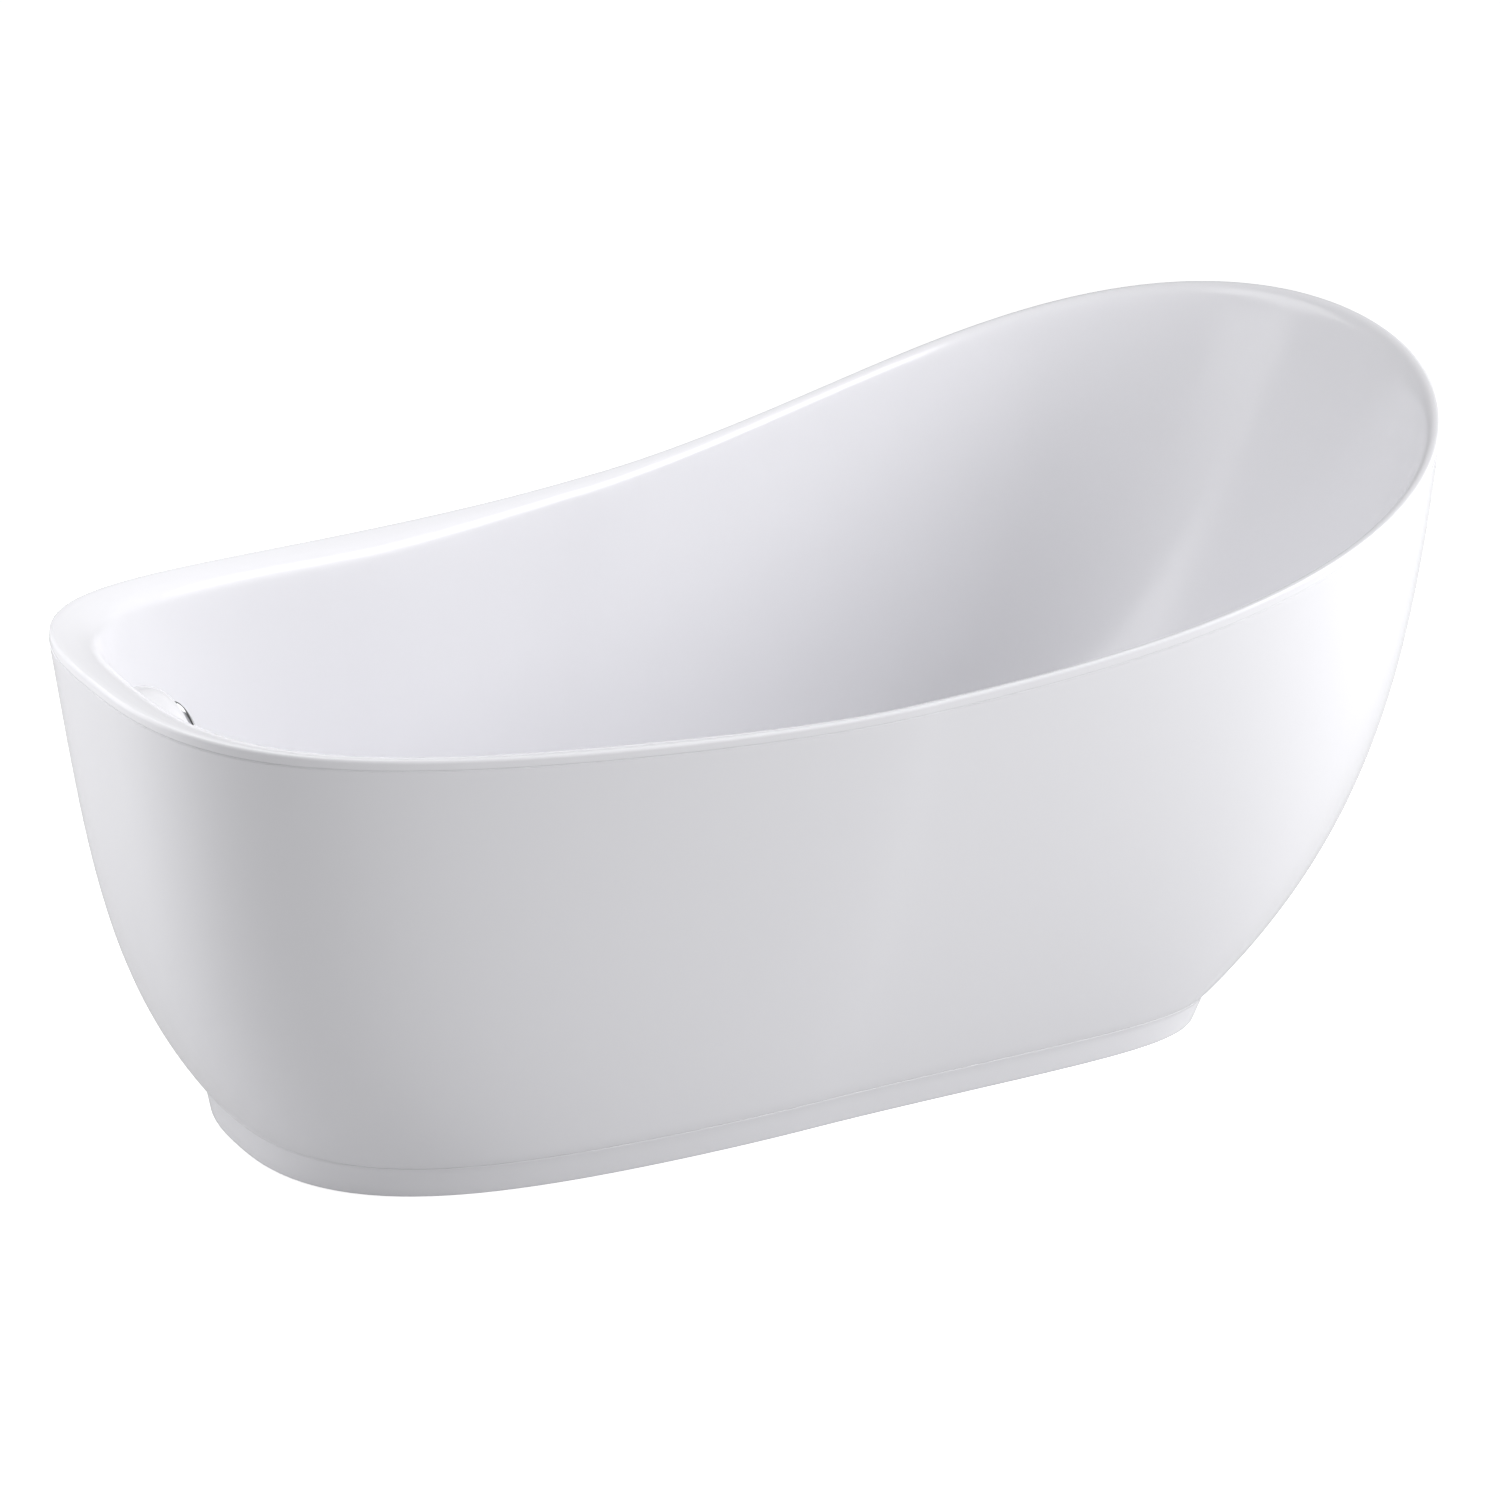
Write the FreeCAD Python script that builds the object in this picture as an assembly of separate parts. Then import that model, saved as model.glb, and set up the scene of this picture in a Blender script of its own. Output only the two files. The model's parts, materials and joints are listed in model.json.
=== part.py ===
"""Freestanding single-slipper bathtub: two acrylic shells on a steel frame with levelling feet.

Millimetres, +Z up. The origin is on the floor under the middle of the rim's plan.
+X runs to the high backrest (the head), -X to the low end (the foot) with the overflow.
"""
import FreeCAD, Part
import math
import os

Vector = FreeCAD.Vector
UP = Vector(0, 0, 1)

# ---- Rim: plan outline and height ----
RIM_LENGTH = 1800.0
RIM_HALF_WIDTH = 420.0       # before the egg and waist factors
RIM_FOOT_SQUARENESS = 2.67   # superellipse powers: 2 is an ellipse, more is squarer
RIM_HEAD_SQUARENESS = 2.03
RIM_EGG = 0.26               # the head is wider than the foot
RIM_WAIST = 0.16             # the ends are fuller than the middle
RIM_LOW_HEIGHT = 590.0
RIM_LOW_X = -152.0           # where the rim is lowest
HEAD_RISE = 205.0            # how far the rim climbs to the head
HEAD_RISE_POWER = 2.0
FOOT_RISE = 52.0             # how far the rim climbs to the foot
FOOT_RISE_POWER = 1.77

# ---- Base outline: the skirt's bottom edge ----
BASE_FOOT_INSET = 213.0      # how far the base stands in from the rim at each end and side
BASE_HEAD_INSET = 285.0
BASE_SIDE_INSET = 117.0
BASE_FOOT_SQUARENESS = 2.49
BASE_HEAD_SQUARENESS = 3.83
BASE_EGG = 0.15
BASE_WAIST = 0.10
PLINTH_HEIGHT = 44.0
PLINTH_TOP_SETBACK = 2.5     # the plinth tapers: its top stands in from the skirt's bottom edge
PLINTH_SETBACK = 14.0        # and its bottom further in
PLINTH_WALL = 9.0
PLINTH_FLANGE = 16.0         # inward flange that the skirt is bonded to
PLINTH_FLANGE_THICKNESS = 5.0

# ---- Skirt ----
SKIRT_WALL = 5.0
# Each pair bends the wall outwards from a straight line: low on the wall, then lower still.
FOOT_BULGE = (0.0, 0.42)
SIDE_BULGE = (0.25, 0.20)
HEAD_BULGE = (0.40, 0.85)

# ---- Basin ----
LIP_HEIGHT = 12.0
LIP_ROUND = 4.0
LIP_WIDTH = 15.0
BOND_GAP = 1.5               # between the lip and the skirt's top edge
BOND_THICKNESS = 1.3         # adhesive in that gap
BASIN_WALL = 6.0
DECK_WIDTH_FOOT = 66.0       # the soft shoulder between the lip and the wall
DECK_WIDTH_SIDE = 34.0
DECK_WIDTH_HEAD = 20.0
DECK_SLOPE = 0.25            # fall of the shoulder per unit of width
FLOOR_HEIGHT = 132.0         # top of the basin's floor
FLOOR_FOOT_INSET = 300.0     # how far the floor's outline stands in from the rim
FLOOR_HEAD_INSET = 570.0
FLOOR_SIDE_INSET = 220.0
FLOOR_SQUARENESS = 2.6
FLOOR_EGG = 0.10

# Shares of the way from the shoulder to the floor's outline, at the head, the foot and the side:
SHOULDER_REACH = (0.06, 0.09, 0.05)     # just under the shoulder
WALL_REACH = (0.30, 0.42, 0.26)         # two thirds of the way down
FLOOR_BEND_REACH = (0.62, 0.60, 0.50)   # where the wall bends into the floor

# ---- Overflow, on the foot wall ----
OVERFLOW_INSET = 114.0       # from the rim's foot end to the centre of the boss's flat face
OVERFLOW_DROP = 90.0         # from the rim's foot end down to that centre
OVERFLOW_TILT = 12.0         # degrees that the face looks up
BOSS_RADIUS = 41.0
BOSS_DEPTH = 46.0
BOSS_WALL = 6.0
CORE_REACH = 30.0            # how far the boss's hollow is cut back behind it
COLLAR_RADIUS = 34.0         # of the gasket and the collar behind the boss's face
COVER_RADIUS = 35.0
COVER_THICKNESS = 10.0
COVER_WALL = 1.5
COVER_SLOT = 14.0
COVER_ROUND = 3.0
COVER_POST = 6.0             # radius of the post behind the cover that the screw goes through
SCREW_RADIUS = 2.5
SCREW_HEAD_RADIUS = 4.5
SCREW_HEAD_HEIGHT = 1.5
SCREW_SOCKET = 1.6
SCREW_REACH = 20.0           # how far the screw goes back from the boss's face
OVERFLOW_BORE = 24.0         # radius of the hole in the boss
BODY_CLEARANCE = 0.5         # loose fit of plumbing bodies in their holes
GASKET_THICKNESS = 3.0
BODY_WALL = 4.0
WEB_WIDTH = 6.0              # of the bar across the body that the screw goes into
WEB_DEPTH = 8.0
WEB_HUB = 5.0
COLLAR_THICKNESS = 5.0
ELBOW_SPACE = 20.0           # behind the basin's wall, where the elbow turns down
ELBOW_BEND = 24.0
ELBOW_LEG = 46.0
ELBOW_ROOM = 3.0             # clear space round the elbow's leg where it passes the boss
PIPE_RADIUS = 16.0
PIPE_WALL = 2.0
PIPE_FIT = 0.05              # running fit of a pipe in its socket
PIPE_BEND = 45.0
SOCKET_WALL = 3.5
SOCKET_DEPTH = 18.0
HAND_NUT_WALL = 3.0
HAND_NUT_RIB = 2.0
HAND_NUT_HEIGHT = 14.0
PIPE_KNEE_INSET = 143.0      # from the rim's foot end to where the overflow pipe turns in
PIPE_KNEE_RISE = 68.0        # above the basin's floor
PIPE_HEEL_INSET = 232.0      # from the rim's foot end to where the pipe turns level

# ---- Waste and plug ----
DRAIN_INSET = 470.0          # from the rim's foot end
DRAIN_RADIUS = 23.0          # the hole in the floor
FLANGE_RADIUS = 35.0
FLANGE_THICKNESS = 3.0
FLANGE_ROUND = 1.5
FLANGE_RECESS = 2.5
FLANGE_GASKET = 1.5
TAIL_WALL = 2.5
TAIL_LENGTH = 58.0
LOCK_NUT_RADIUS = 33.0
LOCK_NUT_HEIGHT = 9.0
SEAT_WIDTH = 4.0
GUIDE_RADIUS = 5.0
GUIDE_LENGTH = 18.0
GUIDE_BAR_WIDTH = 4.0
GUIDE_WALL = 2.5
GUIDE_DROP = 2.0             # from the flange's underside down to the guide
PLUG_RADIUS = 31.0
PLUG_HEIGHT = 5.0
PLUG_ROUND = 3.0
STEM_CLEARANCE = 0.06        # running fit of the stem in its guide
STEM_RADIUS = 4.0
SEAL_THICKNESS = 2.0
PLUG_LIFT = 9.0
STOP_RADIUS = 6.5
STOP_HEIGHT = 3.0
PLUG_GAP = 0.2               # between the seal and the flange when the plug is down
TEE_WALL = 3.5
TEE_BRANCH_DROP = 50.0       # below the basin's floor, as the next three
TEE_TOP_DROP = 26.0
TEE_BOTTOM_DROP = 80.0
TEE_SHOULDER_DROP = 70.0
OUTLET_RADIUS = 19.05
OUTLET_COLLAR = 0.6          # the pipe is thicker inside the tee and its nut
OUTLET_WALL = 1.6
OUTLET_END_Z = 10.0

# ---- Board, frame and feet ----
BOARD_THICKNESS = 16.0
BOARD_INSET = 35.0           # in from the floor's outline
BOARD_BORE = 48.0
RAIL_WIDTH = 30.0
RAIL_HEIGHT = 20.0
RAIL_FOOT_INSET = 167.0      # in from the base outline's foot end
RAIL_HEAD_INSET = 155.0
RAIL_SIDE_INSET = 95.0       # from the floor's outline to each rail's middle
TUBE_WALL = 1.5
CROSS_SIZE = 25.0
CROSS_FOOT_INSET = 190.0     # from each rail end to the end cross members
CROSS_HEAD_INSET = 90.0
CROSS_END_GAP = 3.0          # between a cross member's end and its bracket
FOOT_OUTSET = 45.0           # from each rail's middle out to the feet
STUD_RADIUS = 6.0
STUD_RESERVE = 13.0          # how far each stud stands above its cross member's underside
PAD_RADIUS = 24.0
PAD_HEIGHT = 14.0
PAD_SOCKET = 6.0
FOOT_NUT_RADIUS = 10.4       # across the corners
FOOT_NUT_HEIGHT = 8.0
FOOT_LOCK_HEIGHT = 5.0
PAD_ROUND = 3.0
STUD_COLLAR_RADIUS = 9.0
STUD_COLLAR_HEIGHT = 4.0
STUD_PLAY = 1.0              # round a stud where it goes through its cross member
THREAD_CLEARANCE = 0.05
BOLT_RADIUS = 4.0
BOLT_HEAD_RADIUS = 7.0
BOLT_HEAD_HEIGHT = 4.0
WOOD_SCREW_RADIUS = 2.5
WOOD_SCREW_LENGTH = 30.0
WOOD_HEAD_RADIUS = 5.0
WOOD_HEAD_HEIGHT = 2.5
SCREW_BEFORE_FOOT_CROSS = 40.0
SCREW_PAST_FOOT_CROSS = 110.0
SCREW_PAST_MIDDLE_CROSS = 70.0
SCREW_HEAD_INSET = 55.0      # from the board's head end to the last pair of wood screws
BRACKET_THICKNESS = 2.5
BRACKET_WIDTH = 36.0
BRACKET_TAB = 30.0
BRACKET_SCREW_RADIUS = 2.0
BRACKET_SCREW_LENGTH = 8.0
BRACKET_SCREW_EDGE = 3.0     # from the screw's middle to the far edge of the plinth's flange
BRACKET_HEAD_HEIGHT = 2.0
BRACKET_OVERLAP = 4.0        # how far the bracket's low tab goes past the flange

STATIONS = 32                # stations along half of every outline
SAMPLES = 1440

# ---- Places that follow from the sizes above ----
FOOT_END = -RIM_LENGTH / 2
HEAD_END = RIM_LENGTH / 2
BASE_LENGTH = RIM_LENGTH - BASE_FOOT_INSET - BASE_HEAD_INSET
BASE_CENTRE_X = (BASE_FOOT_INSET - BASE_HEAD_INSET) / 2
BASE_HALF_WIDTH = RIM_HALF_WIDTH - BASE_SIDE_INSET
FLOOR_LENGTH = RIM_LENGTH - FLOOR_FOOT_INSET - FLOOR_HEAD_INSET
FLOOR_CENTRE_X = (FLOOR_FOOT_INSET - FLOOR_HEAD_INSET) / 2
FLOOR_HALF_WIDTH = RIM_HALF_WIDTH - FLOOR_SIDE_INSET
OVERFLOW_X = FOOT_END + OVERFLOW_INSET
OVERFLOW_Z = RIM_LOW_HEIGHT + FOOT_RISE - OVERFLOW_DROP
PIPE_KNEE = (FOOT_END + PIPE_KNEE_INSET, FLOOR_HEIGHT + PIPE_KNEE_RISE)
PIPE_HEEL_X = FOOT_END + PIPE_HEEL_INSET
DRAIN_X = FOOT_END + DRAIN_INSET
TEE_Z = FLOOR_HEIGHT - TEE_BRANCH_DROP
TEE_TOP = FLOOR_HEIGHT - TEE_TOP_DROP
TEE_BOTTOM = FLOOR_HEIGHT - TEE_BOTTOM_DROP
TEE_SHOULDER = FLOOR_HEIGHT - TEE_SHOULDER_DROP
RAIL_FOOT_X = BASE_CENTRE_X - BASE_LENGTH / 2 + RAIL_FOOT_INSET
RAIL_HEAD_X = BASE_CENTRE_X + BASE_LENGTH / 2 - RAIL_HEAD_INSET
RAIL_LENGTH = RAIL_HEAD_X - RAIL_FOOT_X
RAIL_CENTRE_X = (RAIL_HEAD_X + RAIL_FOOT_X) / 2
RAIL_OFFSET = FLOOR_HALF_WIDTH - RAIL_SIDE_INSET
FOOT_OFFSET = RAIL_OFFSET + FOOT_OUTSET
CROSS_FOOT_X = RAIL_FOOT_X + CROSS_FOOT_INSET
CROSS_HEAD_X = RAIL_HEAD_X - CROSS_HEAD_INSET
CROSS_X = (CROSS_FOOT_X, (CROSS_FOOT_X + CROSS_HEAD_X) / 2, CROSS_HEAD_X)


# ---- Outlines ----
def superellipse(angle, length, half_width, foot_power, head_power, egg, waist, centre_x):
    """A point of a plan outline; the angle is 0 at the head and pi at the foot."""
    c, s = math.cos(angle), math.sin(angle)
    towards_head = 0.5 * (1.0 + c)
    power = 2.0 / (foot_power + (head_power - foot_power) * towards_head)
    x = centre_x + math.copysign(0.5 * length * abs(c) ** power, c)
    fullness = 1.0 + egg * c + waist * math.cos(2.0 * angle)
    y = math.copysign(half_width * fullness * abs(s) ** power, s)
    return x, y


def rim_plan(angle):
    return superellipse(angle, RIM_LENGTH, RIM_HALF_WIDTH, RIM_FOOT_SQUARENESS,
                        RIM_HEAD_SQUARENESS, RIM_EGG, RIM_WAIST, 0.0)


def base_plan(angle):
    return superellipse(angle, BASE_LENGTH, BASE_HALF_WIDTH, BASE_FOOT_SQUARENESS,
                        BASE_HEAD_SQUARENESS, BASE_EGG, BASE_WAIST, BASE_CENTRE_X)


def floor_plan(angle):
    return superellipse(angle, FLOOR_LENGTH, FLOOR_HALF_WIDTH, FLOOR_SQUARENESS,
                        FLOOR_SQUARENESS, FLOOR_EGG, 0.0, FLOOR_CENTRE_X)


def rim_height(x):
    """Height of the rim's top along the tub: level at its low point, rising to both ends."""
    half = 0.5 * RIM_LENGTH
    to_head = max(0.0, (x - RIM_LOW_X) / (half - RIM_LOW_X))
    to_foot = max(0.0, (RIM_LOW_X - x) / (half + RIM_LOW_X))
    return RIM_LOW_HEIGHT + HEAD_RISE * to_head ** HEAD_RISE_POWER + FOOT_RISE * to_foot ** FOOT_RISE_POWER


def even_angles():
    """Angles at which the rim and base outlines together are evenly spaced, all the way round."""
    angles = [math.pi * i / SAMPLES for i in range(SAMPLES + 1)]
    travelled = [0.0]
    for a, b in zip(angles, angles[1:]):
        step = math.dist(rim_plan(a), rim_plan(b)) + math.dist(base_plan(a), base_plan(b))
        travelled.append(travelled[-1] + step)
    half = [0.0]
    at = 0
    for i in range(1, STATIONS):
        wanted = travelled[-1] * i / STATIONS
        while travelled[at + 1] < wanted:
            at += 1
        part = (wanted - travelled[at]) / (travelled[at + 1] - travelled[at])
        half.append(angles[at] + part * (angles[at + 1] - angles[at]))
    return half + [math.pi] + [-a for a in reversed(half[1:])]


ANGLES = even_angles()


def shares(angle):
    """How much of the head, foot and side a station has; the three add up to one."""
    c = math.cos(angle)
    head = max(0.0, c) ** 2
    foot = max(0.0, -c) ** 2
    return head, foot, 1.0 - head - foot


def blended(angle, head_value, foot_value, side_value):
    head, foot, side = shares(angle)
    return head * head_value + foot * foot_value + side * side_value


# ---- Surfaces through rows of stations ----
def closed_spline(points):
    curve = Part.BSplineCurve()
    count = len(points)
    curve.interpolate(Points=points, PeriodicFlag=True, Parameters=[i / count for i in range(count + 1)])
    return curve


def skin(rows):
    """One smooth face through closed rows of points."""
    curves = [closed_spline(row) for row in rows]
    around = curves[0]
    columns = list(zip(*[curve.getPoles() for curve in curves]))
    steps = [0.0]
    for lower, upper in zip(rows, rows[1:]):
        steps.append(steps[-1] + sum(a.distanceToPoint(b) for a, b in zip(lower, upper)))
    steps = [s / steps[-1] for s in steps]
    if len(rows) == 2:
        poles, knots, mults, degree = columns, [0.0, 1.0], [2, 2], 1
    else:
        risers = []
        for column in columns:
            riser = Part.BSplineCurve()
            riser.interpolate(Points=list(column), Parameters=steps)
            risers.append(riser)
        poles = [riser.getPoles() for riser in risers]
        knots = risers[0].getKnots()
        mults = risers[0].getMultiplicities()
        degree = risers[0].Degree
    surface = Part.BSplineSurface()
    surface.buildFromPolesMultsKnots(poles, around.getMultiplicities(), mults, around.getKnots(),
                                     knots, True, False, around.Degree, degree)
    return surface.toShape()


def flat_face(row):
    """The plane face inside a level row."""
    return Part.Face(Part.Wire([closed_spline(row).toShape()]))


def closed_solid(faces):
    """The solid that the faces enclose."""
    sewn = Part.Compound(faces)
    sewn.sewShape()
    solid = Part.Solid(sewn.Shells[0])
    if solid.Volume < 0:
        solid.reverse()
    return solid


def offset_rows(rows, distance):
    """The rows moved by a distance along the surface normals, towards the tub's middle line."""
    moved = []
    count = len(rows[0])
    middle = sum(rows[0], Vector()) / count
    for i, row in enumerate(rows):
        above = rows[min(i + 1, len(rows) - 1)]
        below = rows[max(i - 1, 0)]
        shifted = []
        for j, point in enumerate(row):
            along = row[(j + 1) % count] - row[j - 1]
            normal = along.cross(above[j] - below[j])
            normal.normalize()
            if normal.dot(Vector(middle.x - point.x, middle.y - point.y, 0)) < 0:
                normal = -normal
            shifted.append(point + normal * distance)
        moved.append(shifted)
    return moved


def level_row(plan, z, inset=0.0):
    """A plan outline at one height, moved inwards by an inset."""
    points = [Vector(*plan(a), z) for a in ANGLES]
    if inset == 0.0:
        return points
    count = len(points)
    moved = []
    for j, point in enumerate(points):
        along = points[(j + 1) % count] - points[j - 1]
        inwards = UP.cross(along)
        inwards.normalize()
        moved.append(point + inwards * inset)
    return moved


# ---- Plain solids ----
def cylinder(radius, length, base, direction=UP):
    return Part.makeCylinder(radius, length, base, direction)


def tube(outer, inner, length, base, direction=UP):
    return cylinder(outer, length, base, direction).cut(cylinder(inner, length, base, direction))


def box(size_x, size_y, size_z, centre):
    corner = centre - Vector(size_x / 2, size_y / 2, size_z / 2)
    return Part.makeBox(size_x, size_y, size_z, corner)


def hexagon(radius, length, base, bore=0.0):
    """A hexagonal nut, standing on its base."""
    turns = [math.radians(60 * i) for i in range(7)]
    corners = [base + Vector(math.cos(turn), math.sin(turn), 0) * radius for turn in turns]
    nut = Part.Face(Part.makePolygon(corners)).extrude(Vector(0, 0, length))
    if bore > 0:
        nut = nut.cut(cylinder(bore, length, base))
    return nut


def hand_nut(radius, bore, base, direction, ribs=8):
    """A plastic hand nut: a ring with grip ribs."""
    ring = cylinder(radius, HAND_NUT_HEIGHT, base, direction)
    side = direction.cross(Vector(0, 1, 0)).normalize()
    for i in range(ribs):
        turn = FreeCAD.Rotation(direction, 360.0 * i / ribs)
        ring = ring.fuse(cylinder(HAND_NUT_RIB, HAND_NUT_HEIGHT, base + turn.multVec(side) * radius, direction))
    return ring.cut(cylinder(bore, HAND_NUT_HEIGHT, base, direction))


def pipe_run(points, radius, bend):
    """A round rod along straight runs joined by tangent arcs."""
    edges = []
    start = points[0]
    for before, corner, after in zip(points, points[1:], points[2:]):
        inwards, outwards = (before - corner).normalize(), (after - corner).normalize()
        half = 0.5 * inwards.getAngle(outwards)
        reach = bend / math.tan(half)
        first, last = corner + inwards * reach, corner + outwards * reach
        bisector = (inwards + outwards).normalize()
        middle = corner + bisector * (bend / math.sin(half) - bend)
        edges.append(Part.makeLine(start, first))
        edges.append(Part.Arc(first, middle, last).toShape())
        start = last
    edges.append(Part.makeLine(start, points[-1]))
    ring = Part.Wire([Part.makeCircle(radius, points[0], points[1] - points[0])])
    return Part.Wire(edges).makePipeShell([ring], True, False)


parts = {}


# ---- Skirt, bond and plinth ----
def wall_reach(height_share, angle):
    """How far out the skirt's wall is, from the base outline (0) to the rim outline (1)."""
    low = blended(angle, HEAD_BULGE[0], FOOT_BULGE[0], SIDE_BULGE[0])
    lower = blended(angle, HEAD_BULGE[1], FOOT_BULGE[1], SIDE_BULGE[1])
    rest = 1.0 - height_share
    return low * (1 - rest ** 2) + lower * (1 - rest ** 4) + (1 - low - lower) * height_share


def skirt_point(angle, height_share, edge_drop):
    """A point of the skirt's outer face; the edge drop is how far its top is below the rim."""
    rim_x, rim_y = rim_plan(angle)
    base_x, base_y = base_plan(angle)
    reach = wall_reach(height_share, angle)
    top = rim_height(rim_x) - edge_drop
    return Vector(base_x + (rim_x - base_x) * reach, base_y + (rim_y - base_y) * reach,
                  PLINTH_HEIGHT + (top - PLINTH_HEIGHT) * height_share)


SKIRT_SHARES = [0.0, 0.02, 0.06, 0.13, 0.22, 0.34, 0.48, 0.62, 0.76, 0.88, 0.96, 1.0]


def skirt_rows():
    drop = LIP_HEIGHT + BOND_GAP
    return [[skirt_point(a, share, drop) for a in ANGLES] for share in SKIRT_SHARES]


def make_skirt():
    outer = skirt_rows()
    inner = offset_rows(outer, SKIRT_WALL)
    for point in inner[0]:
        point.z = PLINTH_HEIGHT
    faces = [skin(outer), skin([outer[-1], inner[-1]]), skin(inner), skin([inner[0], outer[0]])]
    parts["outer_skirt"] = closed_solid(faces)
    return outer, inner


def make_rim_bond(outer, inner):
    """The adhesive ring that fills the gap between the skirt's top edge and the lip."""
    lift = Vector(0, 0, BOND_THICKNESS)
    low_out, low_in = outer[-1], inner[-1]
    set_in = [a + (b - a) * 0.2 for a, b in zip(low_out, low_in)]
    top_out = [p + lift for p in set_in]
    top_in = [Vector(p.x, p.y, q.z) + lift for p, q in zip(low_in, low_out)]
    faces = [skin([set_in, top_out]), skin([top_out, top_in]), skin([top_in, low_in]), skin([low_in, set_in])]
    parts["rim_bond"] = closed_solid(faces)


def make_plinth():
    """A band that tapers down to the floor, with an inward flange on top that the skirt's edge stands on."""
    top, under = PLINTH_HEIGHT, PLINTH_HEIGHT - PLINTH_FLANGE_THICKNESS
    wall_in = PLINTH_SETBACK + PLINTH_WALL

    def slab(low_inset, high_inset, low, high):
        bottom = level_row(base_plan, low, low_inset)
        upper = level_row(base_plan, high, high_inset)
        return closed_solid([skin([bottom, upper]), flat_face(bottom), flat_face(upper)])

    plinth = slab(PLINTH_SETBACK, PLINTH_TOP_SETBACK, 0.0, top)
    plinth = plinth.cut(slab(wall_in, wall_in, 0.0, under))
    plinth = plinth.cut(slab(wall_in + PLINTH_FLANGE, wall_in + PLINTH_FLANGE, 0.0, top))
    for centre, way in bracket_screw_places():
        if way.z < 0:
            plinth = plinth.cut(cylinder(BRACKET_SCREW_RADIUS, BRACKET_SCREW_LENGTH, centre, way))
    parts["plinth_band"] = plinth


# ---- Basin ----
def spline_weights(t):
    """Weights of a clamped cubic spline's seven control points at t from 0 to 1."""
    knots = [0, 0, 0, 0, 1, 2, 3, 4, 4, 4, 4]
    u = min(t, 1.0 - 1e-9) * 4.0

    def basis(i, k):
        if k == 0:
            return 1.0 if knots[i] <= u < knots[i + 1] else 0.0
        left = right = 0.0
        if knots[i + k] > knots[i]:
            left = (u - knots[i]) / (knots[i + k] - knots[i]) * basis(i, k - 1)
        if knots[i + k + 1] > knots[i + 1]:
            right = (knots[i + k + 1] - u) / (knots[i + k + 1] - knots[i + 1]) * basis(i + 1, k - 1)
        return left + right

    return [basis(i, 3) for i in range(7)]


INSIDE_STEPS = [0.0, 0.03, 0.07, 0.12, 0.18, 0.25, 0.33, 0.42, 0.51, 0.60, 0.69, 0.77, 0.84, 0.90, 0.95, 1.0]


def inside_point(angle, weights):
    """A point of the basin's inner face, from the lip's top down the wall to the floor."""
    rim_x, rim_y = rim_plan(angle)
    floor_x, floor_y = floor_plan(angle)
    across = math.hypot(floor_x - rim_x, floor_y - rim_y)
    depth = rim_height(rim_x) - FLOOR_HEIGHT
    deck = blended(angle, DECK_WIDTH_HEAD, DECK_WIDTH_FOOT, DECK_WIDTH_SIDE)
    fall = deck * DECK_SLOPE
    run = across - deck
    shoulder = blended(angle, *SHOULDER_REACH)
    upper = blended(angle, *WALL_REACH)
    lower = blended(angle, *FLOOR_BEND_REACH)
    profile = [
        (LIP_ROUND, 0.0),
        (deck * 0.55, fall * 0.4),
        (deck, fall),
        (deck + run * shoulder, depth * 0.20),
        (deck + run * upper, depth * 0.66),
        (deck + run * lower, depth),
        (across, depth),
    ]
    inwards = sum(w * p[0] for w, p in zip(weights, profile)) / across
    drop = sum(w * p[1] for w, p in zip(weights, profile))
    return Vector(rim_x + (floor_x - rim_x) * inwards, rim_y + (floor_y - rim_y) * inwards,
                  rim_height(rim_x) - drop)


def lip_point(angle, inwards, drop):
    """A point near the rim, some way in from the outline and below the rim's top."""
    rim_x, rim_y = rim_plan(angle)
    floor_x, floor_y = floor_plan(angle)
    across = math.hypot(floor_x - rim_x, floor_y - rim_y)
    share = inwards / across
    return Vector(rim_x + (floor_x - rim_x) * share, rim_y + (floor_y - rim_y) * share,
                  rim_height(rim_x) - drop)


def make_basin():
    inside = [[inside_point(a, spline_weights(t)) for a in ANGLES] for t in INSIDE_STEPS]
    rounding = []
    for turn in (0.0, 30.0, 60.0):
        t = math.radians(turn)
        rounding.append([lip_point(a, LIP_ROUND * (1 - math.cos(t)), LIP_ROUND * (1 - math.sin(t)))
                         for a in ANGLES])
    lip_low = [lip_point(a, 0.0, LIP_HEIGHT) for a in ANGLES]
    lip_in = [lip_point(a, LIP_WIDTH, LIP_HEIGHT) for a in ANGLES]
    wet = rounding + inside
    dry = offset_rows(inside, -BASIN_WALL)
    for point in dry[-1]:
        point.z = FLOOR_HEIGHT - BASIN_WALL
    dry = [lip_in] + dry[4:]
    faces = [skin([lip_low, wet[0]]), skin(wet), flat_face(wet[-1]),
             skin([lip_low, lip_in]), skin(dry), flat_face(dry[-1])]
    return closed_solid(faces)


FACE = Vector(math.cos(math.radians(OVERFLOW_TILT)), 0, math.sin(math.radians(OVERFLOW_TILT)))
FACE_CENTRE = Vector(OVERFLOW_X, 0, OVERFLOW_Z)


ELBOW_REACH = BASIN_WALL + PIPE_RADIUS + ELBOW_SPACE   # from the collar to the elbow's corner


def elbow_corner():
    """The corner of the overflow elbow, and the direction of the pipe from there."""
    corner = FACE_CENTRE - FACE * (BOSS_WALL + GASKET_THICKNESS + COLLAR_THICKNESS + ELBOW_REACH)
    return corner, (Vector(PIPE_KNEE[0], 0, PIPE_KNEE[1]) - corner).normalize()


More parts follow.
